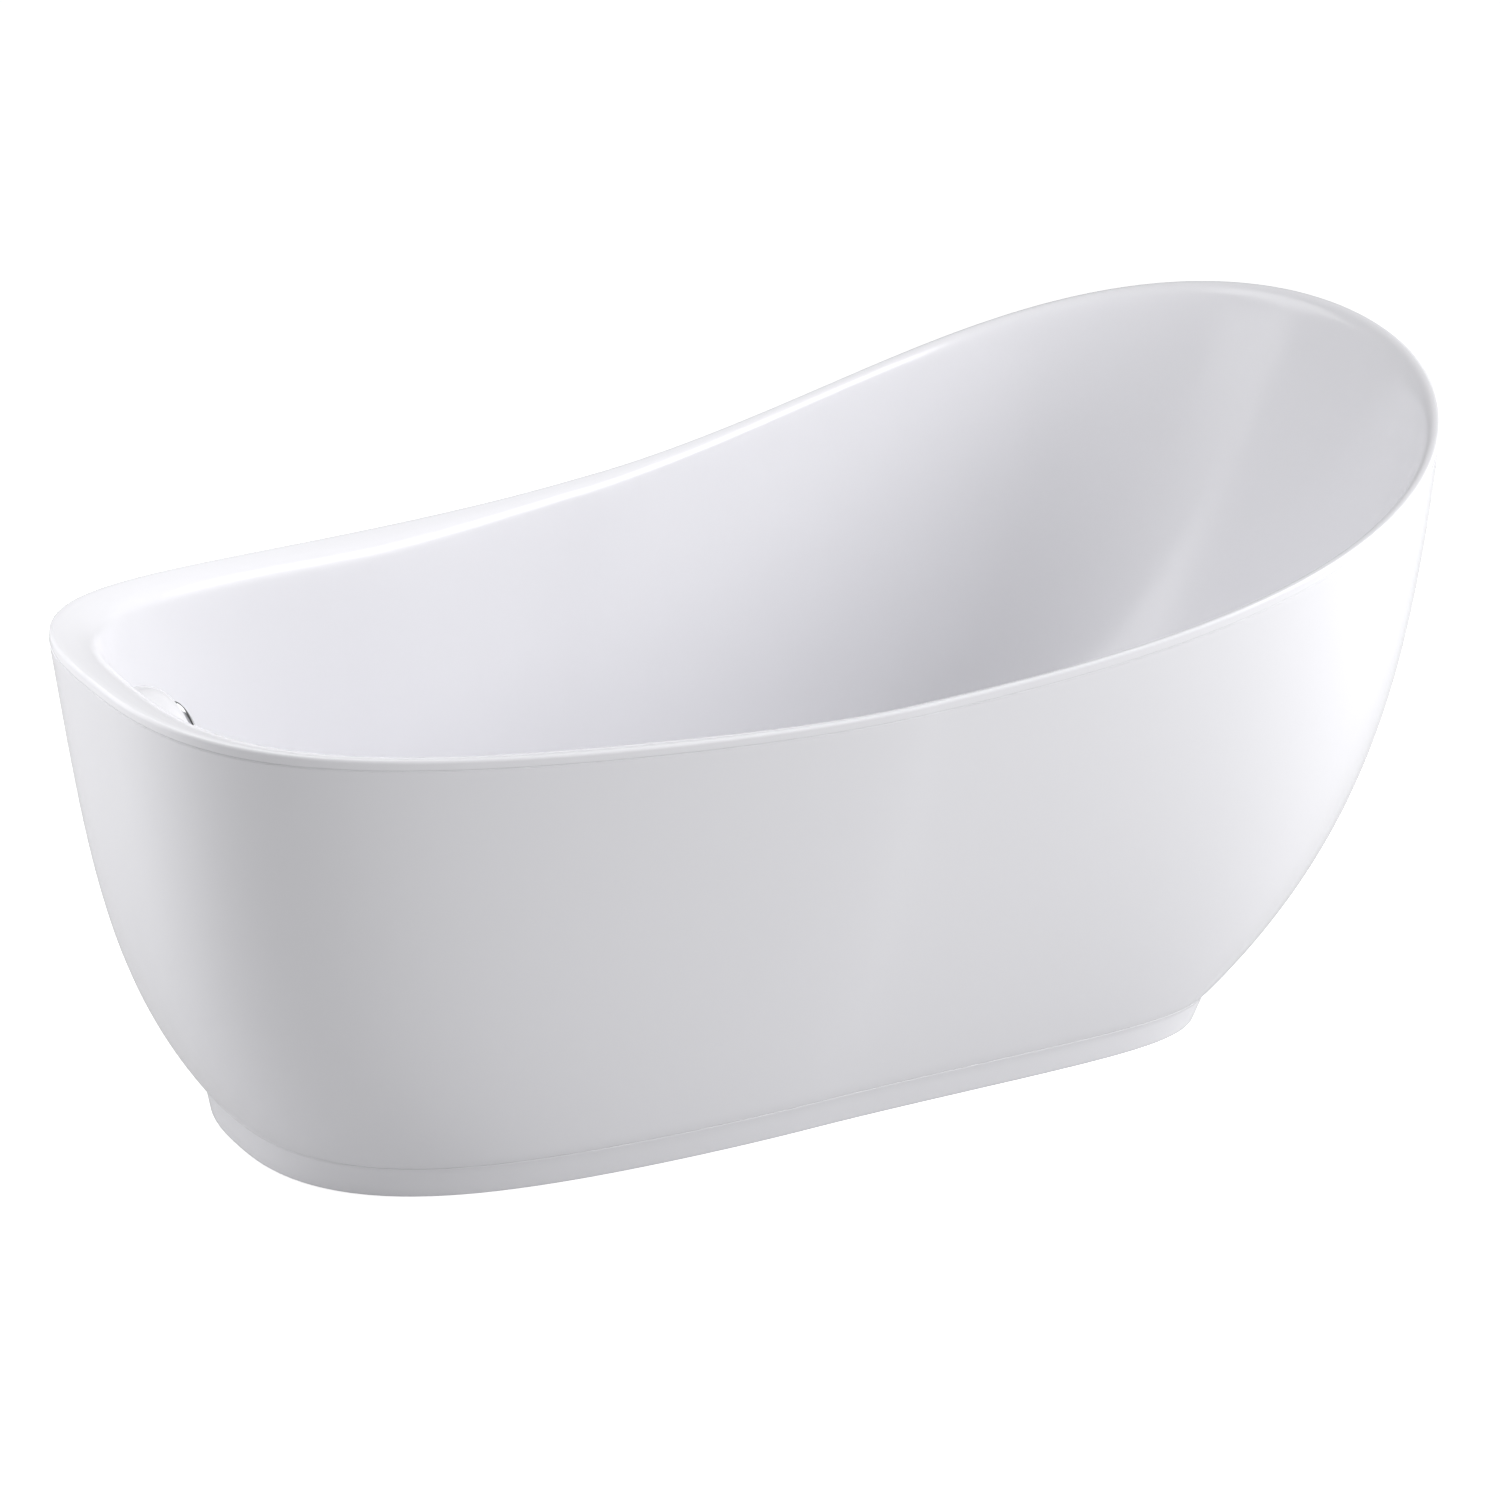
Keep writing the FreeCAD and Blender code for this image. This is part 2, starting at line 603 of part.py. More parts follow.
def make_shell_openings(basin):
    """Adds the overflow boss to the basin and cuts its two openings and the flange's recess."""
    back = FACE_CENTRE - FACE * BOSS_DEPTH
    corner, down = elbow_corner()
    elbow_room = PIPE_RADIUS + PIPE_FIT + SOCKET_WALL + ELBOW_ROOM
    boss = cylinder(BOSS_RADIUS, BOSS_DEPTH, back, FACE)
    boss = boss.cut(cylinder(elbow_room, 2 * ELBOW_LEG, corner, down))
    core_back = back - FACE * (BOSS_WALL + CORE_REACH)
    core = cylinder(BOSS_RADIUS - BOSS_WALL, BOSS_DEPTH + CORE_REACH, core_back, FACE)
    bore = cylinder(OVERFLOW_BORE, 2 * BOSS_WALL, FACE_CENTRE - FACE * (2 * BOSS_WALL - 1.0), FACE)
    drain = cylinder(DRAIN_RADIUS, 4 * BASIN_WALL, Vector(DRAIN_X, 0, FLOOR_HEIGHT - 3 * BASIN_WALL))
    recess = cylinder(FLANGE_RADIUS + 1.0, 2 * FLANGE_RECESS, Vector(DRAIN_X, 0, FLOOR_HEIGHT - FLANGE_RECESS))
    shell = basin.fuse(boss)
    for hole in (core, bore, drain, recess):
        shell = shell.cut(hole)
    parts["basin"] = max(shell.Solids, key=lambda solid: solid.Volume)


# ---- Overflow set ----
def make_overflow():
    side = Vector(0, 1, 0)
    cover_back = FACE_CENTRE
    cap = cylinder(COVER_RADIUS, COVER_THICKNESS, cover_back, FACE)
    rim_edges = [e for e in cap.Edges if e.Length > 6 * COVER_RADIUS
                 and e.CenterOfMass.distanceToPoint(cover_back) > COVER_THICKNESS / 2]
    cap = cap.makeFillet(COVER_ROUND, rim_edges)
    hollow = cylinder(COVER_RADIUS - COVER_WALL, COVER_THICKNESS - COVER_WALL - 1.0, cover_back, FACE)
    post = cylinder(COVER_POST, COVER_THICKNESS, cover_back, FACE)
    thread = cylinder(SCREW_RADIUS, COVER_THICKNESS + 2.0, cover_back - FACE, FACE)
    under = FACE.cross(side)
    if under.z > 0:
        under = -under
    slot = cylinder(COVER_SLOT / 2, COVER_RADIUS, cover_back + under * (COVER_RADIUS / 2) + FACE * 1.0, under)
    slot = slot.common(cylinder(COVER_RADIUS + 5.0, 6.0, cover_back, FACE))
    parts["overflow_cover"] = cap.cut(hollow).fuse(post.common(cap)).cut(slot).cut(thread)

    screw_head = cylinder(SCREW_HEAD_RADIUS, SCREW_HEAD_HEIGHT, cover_back + FACE * COVER_THICKNESS, FACE)
    shank = cylinder(SCREW_RADIUS, COVER_THICKNESS + SCREW_REACH, cover_back - FACE * SCREW_REACH, FACE)
    socket = cylinder(SCREW_SOCKET, SCREW_HEAD_HEIGHT, cover_back + FACE * (COVER_THICKNESS + 0.5), FACE)
    parts["overflow_screw"] = shank.fuse(screw_head).cut(socket)

    gasket_back = FACE_CENTRE - FACE * (BOSS_WALL + GASKET_THICKNESS)
    parts["overflow_gasket"] = tube(COLLAR_RADIUS, OVERFLOW_BORE, GASKET_THICKNESS,
                                    gasket_back, FACE)


def make_overflow_elbow():
    """The threaded body that is clamped behind the boss, with its elbow down to the pipe."""
    radius = OVERFLOW_BORE - BODY_CLEARANCE
    corner, down = elbow_corner()
    collar_back = corner + FACE * ELBOW_REACH
    throat_length = (FACE_CENTRE - collar_back).dot(FACE) - 1.0
    collar = cylinder(COLLAR_RADIUS, COLLAR_THICKNESS, collar_back, FACE)
    throat = cylinder(radius, throat_length, collar_back, FACE)
    outer = PIPE_RADIUS + PIPE_FIT + SOCKET_WALL
    path = [collar_back, corner, corner + down * ELBOW_LEG]
    body = collar.fuse(throat).fuse(pipe_run(path, outer, ELBOW_BEND))
    body = body.cut(pipe_run(path, PIPE_RADIUS + PIPE_FIT, ELBOW_BEND))
    body = body.cut(cylinder(PIPE_RADIUS, COLLAR_THICKNESS, collar_back, FACE))
    body = body.cut(cylinder(radius - BODY_WALL, throat_length, collar_back + FACE * 2.0, FACE))
    web = box(WEB_WIDTH, 2 * radius - BODY_WALL, WEB_DEPTH, collar_back + FACE * (throat_length - 5.0))
    web = web.fuse(cylinder(WEB_HUB, WEB_DEPTH, collar_back + FACE * (throat_length - WEB_DEPTH), FACE))
    web = web.cut(cylinder(SCREW_RADIUS, SCREW_REACH, FACE_CENTRE - FACE * SCREW_REACH, FACE))
    parts["overflow_elbow"] = body.fuse(web)


def make_overflow_pipe():
    """The pipe from the elbow, down between the shells and level to the waste tee."""
    corner, down = elbow_corner()
    socket = ELBOW_LEG - SOCKET_DEPTH
    end_x = DRAIN_X - (DRAIN_RADIUS + TEE_WALL) - SOCKET_DEPTH
    path = [corner + down * socket, Vector(PIPE_KNEE[0], 0, PIPE_KNEE[1]),
            Vector(PIPE_HEEL_X, 0, TEE_Z), Vector(end_x + SOCKET_DEPTH - 2.0, 0, TEE_Z)]
    outside = pipe_run(path, PIPE_RADIUS, PIPE_BEND)
    inside = pipe_run(path, PIPE_RADIUS - PIPE_WALL, PIPE_BEND)
    parts["overflow_pipe"] = outside.cut(inside)
    bore = PIPE_RADIUS + PIPE_FIT
    outer = bore + SOCKET_WALL + HAND_NUT_WALL
    lower_end = corner + down * ELBOW_LEG
    upper = hand_nut(outer, bore, lower_end, down)
    parts["overflow_nut_upper"] = upper
    parts["overflow_nut_lower"] = hand_nut(outer, bore, Vector(end_x, 0, TEE_Z), Vector(-1, 0, 0))


# ---- Waste and plug ----
FLANGE_BOTTOM = FLOOR_HEIGHT - FLANGE_RECESS + FLANGE_GASKET
FLANGE_TOP = FLANGE_BOTTOM + FLANGE_THICKNESS
TAIL_RADIUS = DRAIN_RADIUS - BODY_CLEARANCE
TAIL_BORE = TAIL_RADIUS - TAIL_WALL


def at_drain(z):
    return Vector(DRAIN_X, 0, z)


def make_waste():
    """The chrome flange with its threaded tail, its gaskets and its lock nut."""
    tail_bottom = FLANGE_BOTTOM - TAIL_LENGTH
    flange = cylinder(FLANGE_RADIUS, FLANGE_THICKNESS, at_drain(FLANGE_BOTTOM))
    top_edge = [e for e in flange.Edges if e.CenterOfMass.z > FLANGE_TOP - 0.1 and len(e.Vertexes) == 1]
    flange = flange.makeFillet(FLANGE_ROUND, top_edge)
    body = flange.fuse(cylinder(TAIL_RADIUS, TAIL_LENGTH, at_drain(tail_bottom)))
    body = body.cut(cylinder(TAIL_BORE, TAIL_LENGTH + 2 * FLANGE_THICKNESS, at_drain(tail_bottom)))
    guide_top = FLANGE_BOTTOM - GUIDE_DROP
    guide = cylinder(STEM_RADIUS + GUIDE_WALL, GUIDE_LENGTH, at_drain(guide_top - GUIDE_LENGTH))
    for turn in (0, 60, 120):
        bar_centre = Vector(0, 0, guide_top - GUIDE_BAR_WIDTH / 2)
        bar = box(2 * TAIL_BORE + TAIL_WALL, GUIDE_BAR_WIDTH, GUIDE_BAR_WIDTH, bar_centre)
        bar.rotate(Vector(), UP, turn)
        bar.translate(Vector(DRAIN_X, 0, 0))
        guide = guide.fuse(bar)
    stem_hole = cylinder(STEM_RADIUS + STEM_CLEARANCE, 3 * GUIDE_LENGTH, at_drain(guide_top - 2 * GUIDE_LENGTH))
    window = cylinder(PIPE_RADIUS - PIPE_WALL - 3.0, TAIL_RADIUS + 5.0, at_drain(TEE_Z), Vector(-1, 0, 0))
    parts["waste_flange"] = body.fuse(guide).cut(stem_hole).cut(window)

    recess_floor = FLOOR_HEIGHT - FLANGE_RECESS
    under = FLOOR_HEIGHT - BASIN_WALL
    parts["flange_gasket"] = tube(FLANGE_RADIUS - 1.0, TAIL_RADIUS + 0.2, FLANGE_GASKET, at_drain(recess_floor))
    parts["waste_gasket"] = tube(LOCK_NUT_RADIUS, TAIL_RADIUS + 0.2, GASKET_THICKNESS,
                                 at_drain(under - GASKET_THICKNESS))
    nut = hexagon(LOCK_NUT_RADIUS, LOCK_NUT_HEIGHT, at_drain(under - GASKET_THICKNESS - LOCK_NUT_HEIGHT),
                  TAIL_RADIUS)
    parts["waste_lock_nut"] = nut
    return guide_top


def make_plug(guide_top):
    """The domed cap on its stem, with the seal under the cap and a stop below the guide."""
    seal_bottom = FLANGE_TOP + PLUG_GAP
    cap_bottom = seal_bottom + SEAL_THICKNESS
    cap = cylinder(PLUG_RADIUS, PLUG_HEIGHT, at_drain(cap_bottom))
    cap_top = cap_bottom + PLUG_HEIGHT
    top_edge = [e for e in cap.Edges if e.CenterOfMass.z > cap_top - 0.1 and len(e.Vertexes) == 1]
    cap = cap.makeFillet(PLUG_ROUND, top_edge)
    parts["plug_cap"] = cap
    parts["plug_seal"] = tube(TAIL_BORE + SEAT_WIDTH, STEM_RADIUS, SEAL_THICKNESS, at_drain(seal_bottom))
    guide_bottom = guide_top - GUIDE_LENGTH
    stop_top = guide_bottom - PLUG_LIFT
    stem = cylinder(STEM_RADIUS, cap_bottom - stop_top + STOP_HEIGHT, at_drain(stop_top - STOP_HEIGHT))
    stop = cylinder(STOP_RADIUS, STOP_HEIGHT, at_drain(stop_top - STOP_HEIGHT))
    parts["plug_stem"] = stem.fuse(stop)


def make_tee():
    """The tee under the waste, its outlet pipe and the outlet's hand nut."""
    bore = TAIL_RADIUS + PIPE_FIT
    outer = bore + TEE_WALL
    branch_bore = PIPE_RADIUS + PIPE_FIT
    branch_length = DRAIN_RADIUS + TEE_WALL + SOCKET_DEPTH
    west = Vector(-1, 0, 0)
    body = cylinder(outer, TEE_TOP - TEE_BOTTOM, at_drain(TEE_BOTTOM))
    body = body.fuse(cylinder(branch_bore + SOCKET_WALL, branch_length, at_drain(TEE_Z), west))
    body = body.cut(cylinder(bore, TEE_TOP - TEE_SHOULDER, at_drain(TEE_SHOULDER)))
    spigot = OUTLET_RADIUS + OUTLET_COLLAR
    body = body.cut(cylinder(spigot + PIPE_FIT, TEE_TOP - TEE_BOTTOM, at_drain(TEE_BOTTOM)))
    socket_start = at_drain(TEE_Z) + west * (branch_length - SOCKET_DEPTH)
    body = body.cut(cylinder(branch_bore, SOCKET_DEPTH, socket_start, west))
    body = body.cut(cylinder(PIPE_RADIUS - PIPE_WALL, branch_length, at_drain(TEE_Z), west))
    parts["waste_tee"] = body
    nut_bottom = TEE_BOTTOM - HAND_NUT_HEIGHT
    pipe = cylinder(OUTLET_RADIUS, TEE_SHOULDER - OUTLET_END_Z, at_drain(OUTLET_END_Z))
    pipe = pipe.fuse(cylinder(spigot, TEE_SHOULDER - nut_bottom, at_drain(nut_bottom)))
    bore_rod = cylinder(OUTLET_RADIUS - OUTLET_WALL, TEE_SHOULDER - OUTLET_END_Z, at_drain(OUTLET_END_Z))
    parts["outlet_pipe"] = pipe.cut(bore_rod)
    parts["outlet_nut"] = hand_nut(outer + HAND_NUT_RIB, spigot + PIPE_FIT, at_drain(TEE_BOTTOM), -UP)


# ---- Frame ----
BOARD_TOP = FLOOR_HEIGHT - BASIN_WALL
BOARD_BOTTOM = BOARD_TOP - BOARD_THICKNESS
RAIL_BOTTOM = BOARD_BOTTOM - RAIL_HEIGHT
CROSS_BOTTOM = RAIL_BOTTOM - CROSS_SIZE
SIDES = (-1, 1)


def make_board():
    def outline(angle):
        length = FLOOR_LENGTH - 2 * BOARD_INSET
        half_width = FLOOR_HALF_WIDTH - BOARD_INSET
        squareness = FLOOR_SQUARENESS
        return superellipse(angle, length, half_width, squareness, squareness, FLOOR_EGG, 0.0, FLOOR_CENTRE_X)

    low, high = level_row(outline, BOARD_BOTTOM), level_row(outline, BOARD_TOP)
    board = closed_solid([skin([low, high]), flat_face(low), flat_face(high)])
    opening = cylinder(BOARD_BORE, BOARD_THICKNESS, Vector(DRAIN_X, 0, BOARD_BOTTOM))
    board = board.cut(opening)
    for centre in screw_points():
        board = board.cut(cylinder(WOOD_SCREW_RADIUS, WOOD_SCREW_LENGTH, centre))
    parts["base_board"] = board


def screw_points():
    """Where the wood screws start, at the underside of the rails."""
    board_head = FLOOR_CENTRE_X + FLOOR_LENGTH / 2 - BOARD_INSET
    places = [CROSS_X[0] - SCREW_BEFORE_FOOT_CROSS, CROSS_X[0] + SCREW_PAST_FOOT_CROSS,
              CROSS_X[1] + SCREW_PAST_MIDDLE_CROSS, board_head - SCREW_HEAD_INSET]
    return [Vector(x, side * RAIL_OFFSET, RAIL_BOTTOM) for side in SIDES for x in places]


def cross_points():
    return [Vector(x, side * RAIL_OFFSET, CROSS_BOTTOM) for x in CROSS_X for side in SIDES]


def foot_points():
    """Foot centres on the floor: two under each end cross member, one under the middle one."""
    ends = [Vector(x, side * FOOT_OFFSET, 0) for x in (CROSS_X[0], CROSS_X[-1]) for side in SIDES]
    return ends + [Vector(CROSS_X[1], 0, 0)]


def base_half_width(x):
    """Half the width of the base outline at a place along the tub."""
    outline = [base_plan(math.pi * i / SAMPLES) for i in range(SAMPLES + 1)]
    return min(outline, key=lambda p: abs(p[0] - x))[1]


def bracket_y(x):
    """Where a bracket's upright stands: at the inner edge of the plinth's flange."""
    return base_half_width(x) - (PLINTH_SETBACK + PLINTH_WALL + PLINTH_FLANGE) - BRACKET_THICKNESS


def bracket_screw_places():
    """Each bracket screw's head seat and direction: down into the plinth, up into the cross member."""
    places = []
    for x in (CROSS_X[0], CROSS_X[-1]):
        for side in SIDES:
            y = bracket_y(x)
            low = Vector(x, side * (y + PLINTH_FLANGE - BRACKET_SCREW_EDGE), PLINTH_HEIGHT + BRACKET_THICKNESS)
            high = Vector(x, side * (y - BRACKET_TAB / 2), CROSS_BOTTOM - BRACKET_THICKNESS)
            places += [(low, -UP), (high, UP)]
    return places


def make_brackets():
    """Z-shaped steel brackets that tie the plinth's flange to the end cross members."""
    brackets, screws = [], []
    thickness = BRACKET_THICKNESS
    for x in (CROSS_X[0], CROSS_X[-1]):
        for side in SIDES:
            y = bracket_y(x)
            tab = PLINTH_FLANGE + BRACKET_OVERLAP
            upright = box(BRACKET_WIDTH, thickness, CROSS_BOTTOM - PLINTH_HEIGHT,
                          Vector(x, side * (y + thickness / 2), (CROSS_BOTTOM + PLINTH_HEIGHT) / 2))
            low = box(BRACKET_WIDTH, tab, thickness,
                      Vector(x, side * (y + tab / 2), PLINTH_HEIGHT + thickness / 2))
            high = box(BRACKET_WIDTH, BRACKET_TAB, thickness,
                       Vector(x, side * (y + thickness - BRACKET_TAB / 2), CROSS_BOTTOM - thickness / 2))
            brackets.append(upright.fuse(low).fuse(high))
    for centre, way in bracket_screw_places():
        shank = cylinder(BRACKET_SCREW_RADIUS, BRACKET_SCREW_LENGTH, centre, way)
        brackets = [bracket.cut(shank) for bracket in brackets]
        screws.append(shank.fuse(cylinder(2 * BRACKET_SCREW_RADIUS, BRACKET_HEAD_HEIGHT, centre, way * -1)))
    parts["plinth_brackets"] = Part.Compound(brackets)
    parts["bracket_screws"] = Part.Compound(screws)


def make_frame():
    for name, side in (("frame_rail_near", -1), ("frame_rail_far", 1)):
        centre = Vector(RAIL_CENTRE_X, side * RAIL_OFFSET, RAIL_BOTTOM + RAIL_HEIGHT / 2)
        rail = box(RAIL_LENGTH, RAIL_WIDTH, RAIL_HEIGHT, centre)
        rail = rail.cut(box(RAIL_LENGTH, RAIL_WIDTH - 2 * TUBE_WALL, RAIL_HEIGHT - 2 * TUBE_WALL, centre))
        for point in screw_points():
            rail = rail.cut(cylinder(WOOD_SCREW_RADIUS, RAIL_HEIGHT, point))
        for point in cross_points():
            rail = rail.cut(cylinder(BOLT_RADIUS, RAIL_HEIGHT, Vector(point.x, point.y, RAIL_BOTTOM)))
        parts[name] = rail
    for name, x in zip(("foot", "middle", "head"), CROSS_X):
        length = 2 * (bracket_y(x) - CROSS_END_GAP)
        centre = Vector(x, 0, CROSS_BOTTOM + CROSS_SIZE / 2)
        bar = box(CROSS_SIZE, length, CROSS_SIZE, centre)
        bar = bar.cut(box(CROSS_SIZE - 2 * TUBE_WALL, length, CROSS_SIZE - 2 * TUBE_WALL, centre))
        for point in cross_points():
            bar = bar.cut(cylinder(BOLT_RADIUS, CROSS_SIZE, point))
        for point in foot_points():
            hole = cylinder(STUD_RADIUS + STUD_PLAY, CROSS_SIZE, Vector(point.x, point.y, CROSS_BOTTOM))
            bar = bar.cut(hole)
        for centre, way in bracket_screw_places():
            bar = bar.cut(cylinder(BRACKET_SCREW_RADIUS, BRACKET_SCREW_LENGTH, centre, way))
        parts["cross_member_" + name] = bar


def make_fasteners():
    screws = []
    for point in screw_points():
        head = cylinder(WOOD_HEAD_RADIUS, WOOD_HEAD_HEIGHT, point - UP * WOOD_HEAD_HEIGHT)
        screws.append(head.fuse(cylinder(WOOD_SCREW_RADIUS, WOOD_SCREW_LENGTH, point)))
    parts["board_screws"] = Part.Compound(screws)
    bolts = []
    for point in cross_points():
        length = CROSS_SIZE + RAIL_HEIGHT
        head = hexagon(BOLT_HEAD_RADIUS, BOLT_HEAD_HEIGHT, point - UP * BOLT_HEAD_HEIGHT)
        nut = hexagon(BOLT_HEAD_RADIUS, BOLT_HEAD_HEIGHT, point + UP * (length - TUBE_WALL - BOLT_HEAD_HEIGHT))
        bolts.append(head.fuse(cylinder(BOLT_RADIUS, length - TUBE_WALL, point)).fuse(nut))
    parts["cross_bolts"] = Part.Compound(bolts)


def make_feet():
    weld_nuts, lock_nuts = [], []
    bore = STUD_RADIUS + THREAD_CLEARANCE
    for number, point in enumerate(foot_points(), start=1):
        pad = cylinder(PAD_RADIUS, PAD_HEIGHT, point)
        top_edges = [e for e in pad.Edges if e.CenterOfMass.z > PAD_HEIGHT - 0.1 and len(e.Vertexes) == 1]
        pad = pad.makeFillet(PAD_ROUND, top_edges)
        socket = cylinder(STUD_RADIUS, PAD_SOCKET, point + UP * (PAD_HEIGHT - PAD_SOCKET))
        parts["foot_pad_%d" % number] = pad.cut(socket)
        stud_bottom = PAD_HEIGHT - PAD_SOCKET
        stud = cylinder(STUD_RADIUS, CROSS_BOTTOM + STUD_RESERVE - stud_bottom, point + UP * stud_bottom)
        collar = hexagon(STUD_COLLAR_RADIUS, STUD_COLLAR_HEIGHT, point + UP * PAD_HEIGHT)
        parts["foot_stud_%d" % number] = stud.fuse(collar)
        weld_base = point + UP * (CROSS_BOTTOM - FOOT_NUT_HEIGHT)
        lock_base = weld_base - UP * FOOT_LOCK_HEIGHT
        weld_nuts.append(hexagon(FOOT_NUT_RADIUS, FOOT_NUT_HEIGHT, weld_base, bore))
        lock_nuts.append(hexagon(FOOT_NUT_RADIUS, FOOT_LOCK_HEIGHT, lock_base, bore))
    parts["foot_weld_nuts"] = Part.Compound(weld_nuts)
    parts["foot_lock_nuts"] = Part.Compound(lock_nuts)


def main():
    os.makedirs("parts", exist_ok=True)
    outer, inner = make_skirt()
    make_rim_bond(outer, inner)
    make_plinth()
    make_shell_openings(make_basin())
    make_overflow()
    make_overflow_elbow()
    make_overflow_pipe()
    make_plug(make_waste())
    make_tee()
    make_board()
    make_frame()
    make_brackets()
    make_fasteners()
    make_feet()
    for name, shape in parts.items():
        shape.exportStep("parts/%s.step" % name)
        print(name, len(shape.Solids), shape.isValid(), round(shape.Volume / 1000.0, 1), "cm3")


main()
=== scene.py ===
"""The looks of a freestanding slipper bathtub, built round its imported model.

Metres, +Z up. The origin is on the floor under the middle of the rim, +X runs to the raised backrest.
"""
import json
import math

import bmesh
import bpy
from mathutils import Matrix, Vector


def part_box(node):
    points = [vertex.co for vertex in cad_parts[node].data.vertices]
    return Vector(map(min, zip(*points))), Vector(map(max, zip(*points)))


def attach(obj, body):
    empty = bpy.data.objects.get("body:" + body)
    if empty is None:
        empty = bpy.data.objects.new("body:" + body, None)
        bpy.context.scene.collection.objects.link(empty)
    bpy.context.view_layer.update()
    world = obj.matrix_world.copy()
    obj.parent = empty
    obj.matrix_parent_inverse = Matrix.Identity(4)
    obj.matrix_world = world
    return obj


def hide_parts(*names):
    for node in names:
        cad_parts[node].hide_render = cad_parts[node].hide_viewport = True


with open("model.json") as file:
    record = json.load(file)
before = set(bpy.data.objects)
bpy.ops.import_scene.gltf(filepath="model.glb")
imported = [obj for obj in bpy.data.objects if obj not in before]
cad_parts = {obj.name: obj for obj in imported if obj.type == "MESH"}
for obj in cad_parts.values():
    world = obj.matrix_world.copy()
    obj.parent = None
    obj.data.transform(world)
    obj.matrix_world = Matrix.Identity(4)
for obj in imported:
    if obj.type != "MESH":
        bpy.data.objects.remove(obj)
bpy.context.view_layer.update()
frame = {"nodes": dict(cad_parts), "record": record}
basin_low, basin_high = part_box("basin")
plinth_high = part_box("plinth_band")[1]
flange_low, flange_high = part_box("waste_flange")
cap_low, cap_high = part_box("plug_cap")

UP = Vector((0, 0, 1))

# ---- Rim: plan outline and height ----
RIM_LENGTH = basin_high.x - basin_low.x
RIM_HALF_WIDTH = 0.420
RIM_FOOT_SQUARENESS = 2.67
RIM_HEAD_SQUARENESS = 2.03
RIM_EGG = 0.26
RIM_WAIST = 0.16
RIM_LOW_HEIGHT = 0.590
RIM_LOW_X = -0.152
HEAD_RISE = 0.205
HEAD_RISE_POWER = 2.0
FOOT_RISE = 0.052
FOOT_RISE_POWER = 1.77

# ---- Base and floor outlines ----
BASE_FOOT_INSET = 0.213
BASE_HEAD_INSET = 0.285
BASE_HALF_WIDTH = RIM_HALF_WIDTH - 0.117
BASE_FOOT_SQUARENESS = 2.49
BASE_HEAD_SQUARENESS = 3.83
BASE_EGG = 0.15
BASE_WAIST = 0.10
FLOOR_FOOT_INSET = 0.300
FLOOR_HEAD_INSET = 0.570
FLOOR_HALF_WIDTH = RIM_HALF_WIDTH - 0.220
FLOOR_SQUARENESS = 2.6
FLOOR_EGG = 0.10
FLOOR_HEIGHT = 0.132

# ---- Walls ----
SKIRT_WALL = 0.005
SKIRT_FOOT_WALL = SKIRT_WALL * 1.2
SKIRT_EDGE_SHARE = 0.0015    # of the skirt's height, for the row that keeps its top edge crisp
# Shares of the skirt's reach that follow a square curve and a fourth-power curve, the rest being straight:
FOOT_BULGE = (0.0, 0.42)
SIDE_BULGE = (0.25, 0.20)
HEAD_BULGE = (0.40, 0.85)
PLINTH_HEIGHT = plinth_high.z
PLINTH_TOP_SETBACK = 0.0025
PLINTH_SETBACK = 0.014
PLINTH_WALL = 0.009
PLINTH_FLANGE = 0.016
PLINTH_FLANGE_THICKNESS = 0.005
PLINTH_PLAY = 0.0001
PLINTH_UNDER_ROUND = 0.0012
PLINTH_UNDER_INSET = 0.0004
PLINTH_BOTTOM_INSET = 0.002
COVE_SIDE = 0.016            # height over which the skirt turns into the plinth, at the sides
COVE_END = 0.003             # and at the two ends
COVE_NUDGE = 0.001           # height over which the skirt's slope above the cove is measured
SEAM = (0.0022, 0.0020, 0.0006)         # rounding of the edges that meet at the seam: head, foot, side
SEAM_INSETS = (2.0, 0.6)                # of that rounding, for the rows behind the edge
SEAM_FACE_SHARE = 0.35                  # of the way to the next row, for the row in front of it
LIP_HEIGHT = 0.012
LIP_ROUND = 0.004
LIP_UNDER_ROUND = LIP_ROUND / 5
LIP_SIDE_SHARES = (0.12, 0.85)
LIP_WIDTH = 0.015
BOND_GAP = 0.0015
BEAD_INSET = 0.0003
BEAD_PLAY = 0.00005
BASIN_WALL = 0.006
DECK_WIDTH = (0.020, 0.066, 0.034)      # head, foot, side, as in the three reaches below
DECK_SLOPE = 0.25
DECK_BEND = (0.55, 0.4)                 # shares of the deck's width and of its fall
SHOULDER_DEPTH = 0.20                   # shares of the depth from the rim to the floor
WALL_DEPTH = 0.66
SHOULDER_REACH = (0.06, 0.09, 0.05)
WALL_REACH = (0.30, 0.42, 0.26)
FLOOR_BEND_REACH = (0.62, 0.60, 0.50)

# ---- Overflow boss and drain ----
OVERFLOW_TILT = math.radians(12.0)
FACE = Vector((math.cos(OVERFLOW_TILT), 0, math.sin(OVERFLOW_TILT)))
OVERFLOW_INSET = 0.114
OVERFLOW_DROP = 0.090
FACE_CENTRE = Vector((basin_low.x + OVERFLOW_INSET, 0, RIM_LOW_HEIGHT + FOOT_RISE - OVERFLOW_DROP))
BOSS_FACE_RADIUS = 0.044
BOSS_EDGE = 0.0245
BOSS_EDGE_DEPTH = 0.032
BOSS_SIDE_SLOPE = 6.0
BOSS_FILLET = 0.012
BOSS_REACH = 0.095
DRAIN_X = (flange_low.x + flange_high.x) / 2
DRAIN_RADIUS = 0.023
RECESS_RADIUS = 0.036
RECESS_DEPTH = 0.0025
